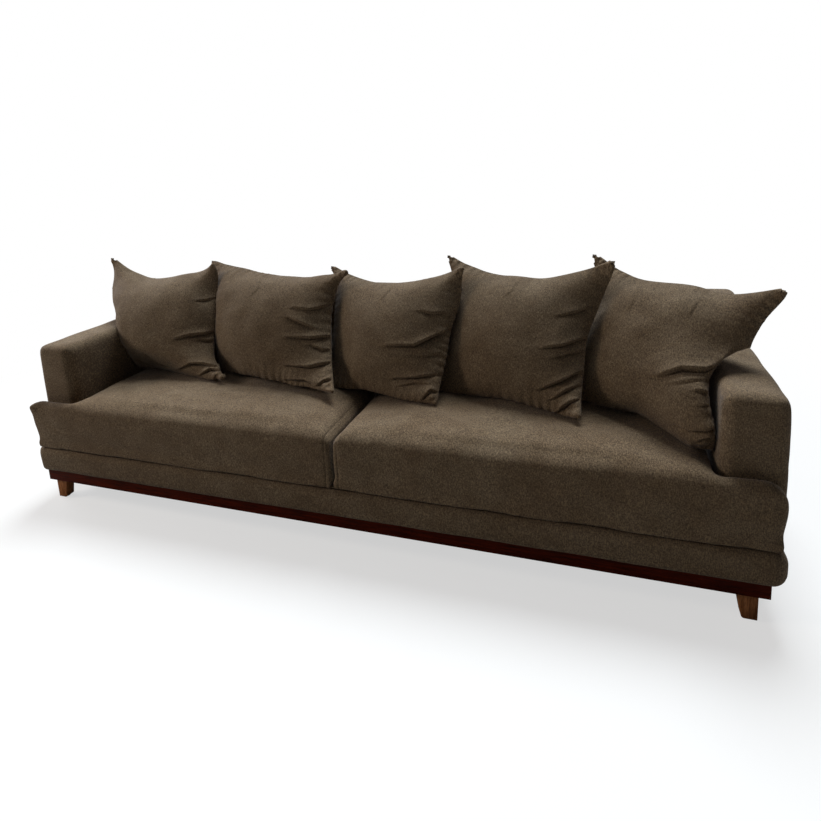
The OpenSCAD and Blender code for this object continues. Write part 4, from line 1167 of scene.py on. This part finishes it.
class SOFA_OT_pillows(bpy.types.Operator):
    """Makes the five loose pillows, with pointed corners, sewn edges, gathers and folds."""

    bl_idname = "sofa.pillows"
    bl_label = "Pillows"

    def execute(self, context):
        shapes = context.scene.sofa_shapes
        seats = [surface("seat_left", UP), surface("seat_right", UP)]
        round_about = [
            surface("back_skin", (0, -1, 0.1)),
            surface("arm_left", (1, 0, 0)),
            surface("arm_right", (-1, 0, 0)),
            *seats,
        ]
        for index, (yaw, handles, folds) in enumerate(zip(PILLOW_YAWS, PILLOW_OUTLINES, PILLOW_FOLDS), 1):
            rear = rear_way(math.radians(yaw), math.radians(PILLOW_LEAN))
            piece = self.plain_pillow(index, rear, shapes)
            mesh = piece.data
            co = coordinates(mesh)
            if index == len(PILLOW_YAWS):
                co = beside_arm(co)
            set_coordinates(mesh, kept_clear(let_down(drawn_to(co, handles), seats), round_about))
            mesh = subdivide(piece)
            gap, run = nearest(coordinates(mesh), seam_points(mesh, rear))
            co = coordinates(mesh)
            normals = normals_of(mesh)
            # Nothing moves on the seam itself
            off_seam = np.minimum(1, gap / FOLD_START)
            move = gathers(gap, run, index, shapes)
            move += folded(co, (normals @ np.array(rear)) < 0.1, folds) * off_seam
            move += crumpled(co, handles, index) * off_seam
            move += waves(co, 150, 30 + index) * PILLOW_UNEVEN
            co += normals * move[:, None] + blunted(co, normals, rear)
            set_coordinates(mesh, kept_clear(co, round_about))
            smooth_faces(mesh)
            round_about.append(surface(piece.name, (1, 0.35, 0)))
        return {"FINISHED"}

    def plain_pillow(self, index, rear, shapes):
        """The pillow's CAD form, made finer and filled out."""
        cad, body = f"pillow_{index}_cover", f"pillow_{index}"
        bm = bmesh.new()
        bm.from_mesh(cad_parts[cad].data)
        bmesh.ops.remove_doubles(bm, verts=bm.verts, dist=MERGE)
        keep_outer_shell(bm)
        bmesh.ops.join_triangles(bm, faces=bm.faces, angle_face_threshold=math.pi, angle_shape_threshold=math.pi)
        mark_seam(bm, rear)
        piece = new_piece(body, bm, cloth(), body, "cloth", cad, f"pillow_{index}_filling")
        subdivide(piece, 2)
        fill_out(piece, PILLOW_PRESSURE, shapes.pillow_cap)
        subdivide(piece)
        return piece


def rear_way(turn, lean):
    """The way that a pillow's rear faces."""
    return Vector((-math.cos(lean) * math.sin(turn), math.cos(lean) * math.cos(turn), -math.sin(lean)))


def gathers(gap, run, index, shapes):
    """Heights of the small gathers along a seam, which come and go, from the gap to the seam and the run along it."""
    ripple = np.sin(run * (2 * math.pi / GATHER_PITCH) + 2.2 * np.sin(run * 17 + index))
    strength = 0.35 + 0.65 * np.clip(np.sin(run * 9 + index * 2), 0, 1)
    return ripple * np.exp(-gap / shapes.pucker_reach) * (np.minimum(1, gap / GATHER_START) * strength) * shapes.pucker


def folded(co, facing, folds):
    """Heights of the folds, on the side that faces the eye."""
    flat = seen(co)
    mm_per_pixel = (co - EYE) @ eye_axes()[2] / FOCAL * MM_PER_M
    height = np.zeros(len(co))
    for line, half_mm, depth_mm in folds:
        far, share, below = line_gap(flat, line)
        far = far * mm_per_pixel
        taper = np.sin(np.clip(share, 0, 1) * math.pi * 0.86 + 0.3) ** 0.8
        # A roll of cloth hangs over the crease, and below it the cloth comes back out slowly
        roll = -below * np.tanh(far / 1.6) * np.exp(-((far / (1.6 * half_mm)) ** 1.3))
        crease = 1.3 * nearness(far, 3.4)
        height += np.where(facing, (roll - crease) * taper * depth_mm / FOLD_DEPTH_SCALE, 0)
    return height


def crumpled(co, handles, index):
    """Heights of the crumples at the lower right corner, which the pillow was put down on."""
    corner = np.array(max(handles, key=lambda handle: handle[3])[2:])
    depth = (co - EYE) @ eye_axes()[2]
    far = np.linalg.norm(seen(co) - corner, axis=1) * depth / FOCAL
    return waves(co, CRUMPLE_MM, 60 + index) * CRUMPLE * nearness(far, CRUMPLE_REACH)


def blunted(co, normals, rear):
    """How points near the four corners of a pillow move to make the corners blunt, as a stuffed corner is."""
    across = np.array(rear.cross(UP).normalized())
    along = np.cross(np.array(rear), across)
    along *= np.sign(along[2])
    move = np.zeros_like(co)
    for right in (-1, 1):
        for up, taken_back, reach in CORNERS_TAKEN_BACK:
            way = (right * across + up * along) / math.sqrt(2)
            tip = co[np.argmax(co @ way)]
            far = np.linalg.norm(co - tip, axis=1, keepdims=True)
            move += nearness(far, reach) * taken_back * (0.35 * normals - 0.8 * way)
            move += nearness(far, CORNER_THICK_TIMES * reach) * CORNER_THICKER * normals
    return move


def beside_arm(co):
    """Brings the edge of the last pillow forward along the right arm."""
    x = np.clip((co[:, 0] - BESIDE_FROM[0]) / BESIDE_REACH[0], 0, 1)
    z = np.clip((co[:, 2] - BESIDE_FROM[1]) / BESIDE_REACH[1], 0, 1)
    moved = co.copy()
    moved[:, 1] -= BESIDE_FORWARD * x * x * (3 - 2 * x) * (1 - z * z * (3 - 2 * z))
    return moved


def drawn_to(co, handles, reach=35, ridge=0.02):
    """Moves a pillow square to the eye, so that the handles on its outline come to their marks.

    reach is in pixels of the image. Low points slide along the seat instead.
    """
    handles = np.array(handles)
    start, wish = handles[:, :2], handles[:, 2:] - handles[:, :2]
    pull = nearness(np.linalg.norm(start[:, None] - start[None], axis=2), reach)
    shares = np.linalg.solve(pull + ridge * np.eye(len(start)), wish)
    shift = nearness(np.linalg.norm(seen(co)[:, None] - start[None], axis=2), reach) @ shares
    right, up, forward = eye_axes()
    away = co - EYE
    depth = (away @ forward)[:, None]
    move = (shift[:, :1] * right - shift[:, 1:] * up) * depth / FOCAL
    ray = away / depth
    low = fading(co[:, 2] - SLIDE_FROM, SLIDE_REACH)
    slide = np.clip(-move[:, 2] / ray[:, 2] * low, -SLIDE_MOST, SLIDE_MOST)
    return co + move + ray * slide[:, None]


def let_down(co, seats, columns=30):
    """Lets the foot of a pillow down until it rests on the seat along its whole width."""
    foot = co[:, 2].min()
    low = np.flatnonzero(co[:, 2] < foot + FOOT_SEARCH)
    gaps = np.full(len(low), FOOT_SEARCH)
    for tree, *_ in seats:
        found = [tree.ray_cast(Vector(co[i]), DOWN, FOOT_SEARCH)[3] for i in low]
        gaps = np.minimum(gaps, [FOOT_SEARCH if far is None else far for far in found])
    gaps = np.minimum(gaps, LET_DOWN_MOST)
    edges = np.linspace(co[:, 0].min(), co[:, 0].max() + 1e-6, columns + 1)
    column = np.digitize(co[low, 0], edges) - 1
    least = np.array([min(gaps[column == i], default=0.0) for i in range(columns)])
    for _ in range(3):
        least = np.convolve(np.pad(least, 1, mode="edge"), (0.25, 0.5, 0.25), mode="valid")
    share = fading(co[:, 2] - foot, LET_DOWN_REACH)
    settled = co.copy()
    settled[:, 2] -= np.interp(co[:, 0], (edges[:-1] + edges[1:]) / 2, least) * share
    return settled


def surface(name, way):
    """A finished piece's surface, its box, and the way in which others leave it."""
    mesh = bpy.data.objects[name].data
    bm = bmesh.new()
    bm.from_mesh(mesh)
    tree = BVHTree.FromBMesh(bm)
    bm.free()
    co = coordinates(mesh)
    return tree, co.min(0), co.max(0), Vector(way).normalized()


def kept_clear(co, surfaces, room=0.001, reach=0.09):
    """Pushes points that are inside other pieces out to their surfaces."""
    for tree, low, high, way in surfaces:
        for i in np.flatnonzero(((co > low) & (co < high)).all(1)):
            place, normal, _, far = tree.ray_cast(Vector(co[i]), way, reach)
            if place is not None and normal.dot(way) > 0:
                co[i] = place + way * room
    return co


def keep_outer_shell(bm):
    """Deletes all but the widest of the shells that a mesh is made of."""
    left = set(bm.verts)
    shells = []
    while left:
        stack = [left.pop()]
        shell = set(stack)
        while stack:
            for edge in stack.pop().link_edges:
                for v in edge.verts:
                    if v in left:
                        left.discard(v)
                        shell.add(v)
                        stack.append(v)
        shells.append(shell)
    widest = max(shells, key=lambda s: max(v.co.x for v in s) - min(v.co.x for v in s))
    bmesh.ops.delete(bm, geom=[v for v in bm.verts if v not in widest], context="VERTS")


def seam_edges(bm, rear):
    """The edges between the front and the rear skin."""
    return [e for e in bm.edges if len({face.normal.dot(rear) > 0 for face in e.link_faces}) == 2]


def mark_seam(bm, rear):
    """Creases the edges between the front and the rear skin, and the upper corners."""
    crease = bm.edges.layers.float.new("crease_edge")
    points = bm.verts.layers.float.new("crease_vert")
    seam = seam_edges(bm, rear)
    for edge in seam:
        edge[crease] = 1.0
    ends = {}
    for edge in seam:
        for v in edge.verts:
            ends.setdefault(v, []).append((edge.other_vert(v).co - v.co).normalized())
    for v, ways in ends.items():
        if len(ways) == 2 and ways[0].dot(ways[1]) > -0.6 and v.co.z > UPPER_CORNERS_Z:
            v[points] = 1.0


def seam_points(mesh, rear):
    """Points along the seam between the two skins, with the distance run so far."""
    bm = bmesh.new()
    bm.from_mesh(mesh)
    seam = seam_edges(bm, rear)
    seam_set = set(seam)
    start = seam[0].verts[0]
    points, run, total, at, last = [], [], 0.0, start, None
    while True:
        points.append(tuple(at.co))
        run.append(total)
        ahead = [e for e in at.link_edges if e in seam_set and e is not last]
        if not ahead:
            break
        last = ahead[0]
        total += last.calc_length()
        at = last.other_vert(at)
        if at is start or len(points) > 4 * len(seam):
            break
    bm.free()
    return np.array(points), np.array(run)


def nearest(co, seam):
    """For each point, the distance to the seam and the run along it there."""
    points, run = seam
    tree = KDTree(len(points))
    for i, point in enumerate(points):
        tree.insert(point, i)
    tree.balance()
    found = [tree.find(point)[1:] for point in co]
    return np.array([far for _, far in found]), run[[i for i, _ in found]]


class SOFA_PT_panel(bpy.types.Panel):
    """The pieces of the sofa and what can be changed on them."""

    bl_idname = "SOFA_PT_panel"
    bl_label = "Sofa"
    bl_space_type = "VIEW_3D"
    bl_region_type = "UI"
    bl_category = "Sofa"

    def draw(self, context):
        for group in (context.scene.sofa_shapes, context.scene.sofa_colours):
            box = self.layout.box()
            for key in group.bl_rna.properties.keys():
                if key not in ("rna_type", "name"):
                    box.prop(group, key)
        for piece in PIECES:
            self.layout.operator(piece.bl_idname)


PIECES = (
    SOFA_OT_stage, SOFA_OT_woodwork, SOFA_OT_hidden_stock, SOFA_OT_covers,
    SOFA_OT_deck, SOFA_OT_seat_cushions, SOFA_OT_zips, SOFA_OT_pillows,
)
CLASSES = (SofaShapes, SofaColours, *PIECES, SOFA_PT_panel)


def register():
    for made in CLASSES:
        bpy.utils.register_class(made)
    bpy.types.Scene.sofa_shapes = bpy.props.PointerProperty(type=SofaShapes)
    bpy.types.Scene.sofa_colours = bpy.props.PointerProperty(type=SofaColours)


def unregister():
    del bpy.types.Scene.sofa_colours
    del bpy.types.Scene.sofa_shapes
    for made in reversed(CLASSES):
        bpy.utils.unregister_class(made)


def main():
    register()
    bpy.ops.sofa.stage()
    bpy.ops.sofa.woodwork()
    bpy.ops.sofa.hidden_stock()
    bpy.ops.sofa.covers()
    bpy.ops.sofa.deck()
    bpy.ops.sofa.seat_cushions()
    bpy.ops.sofa.zips()
    bpy.ops.sofa.pillows()


if __name__ == "__main__":
    main()
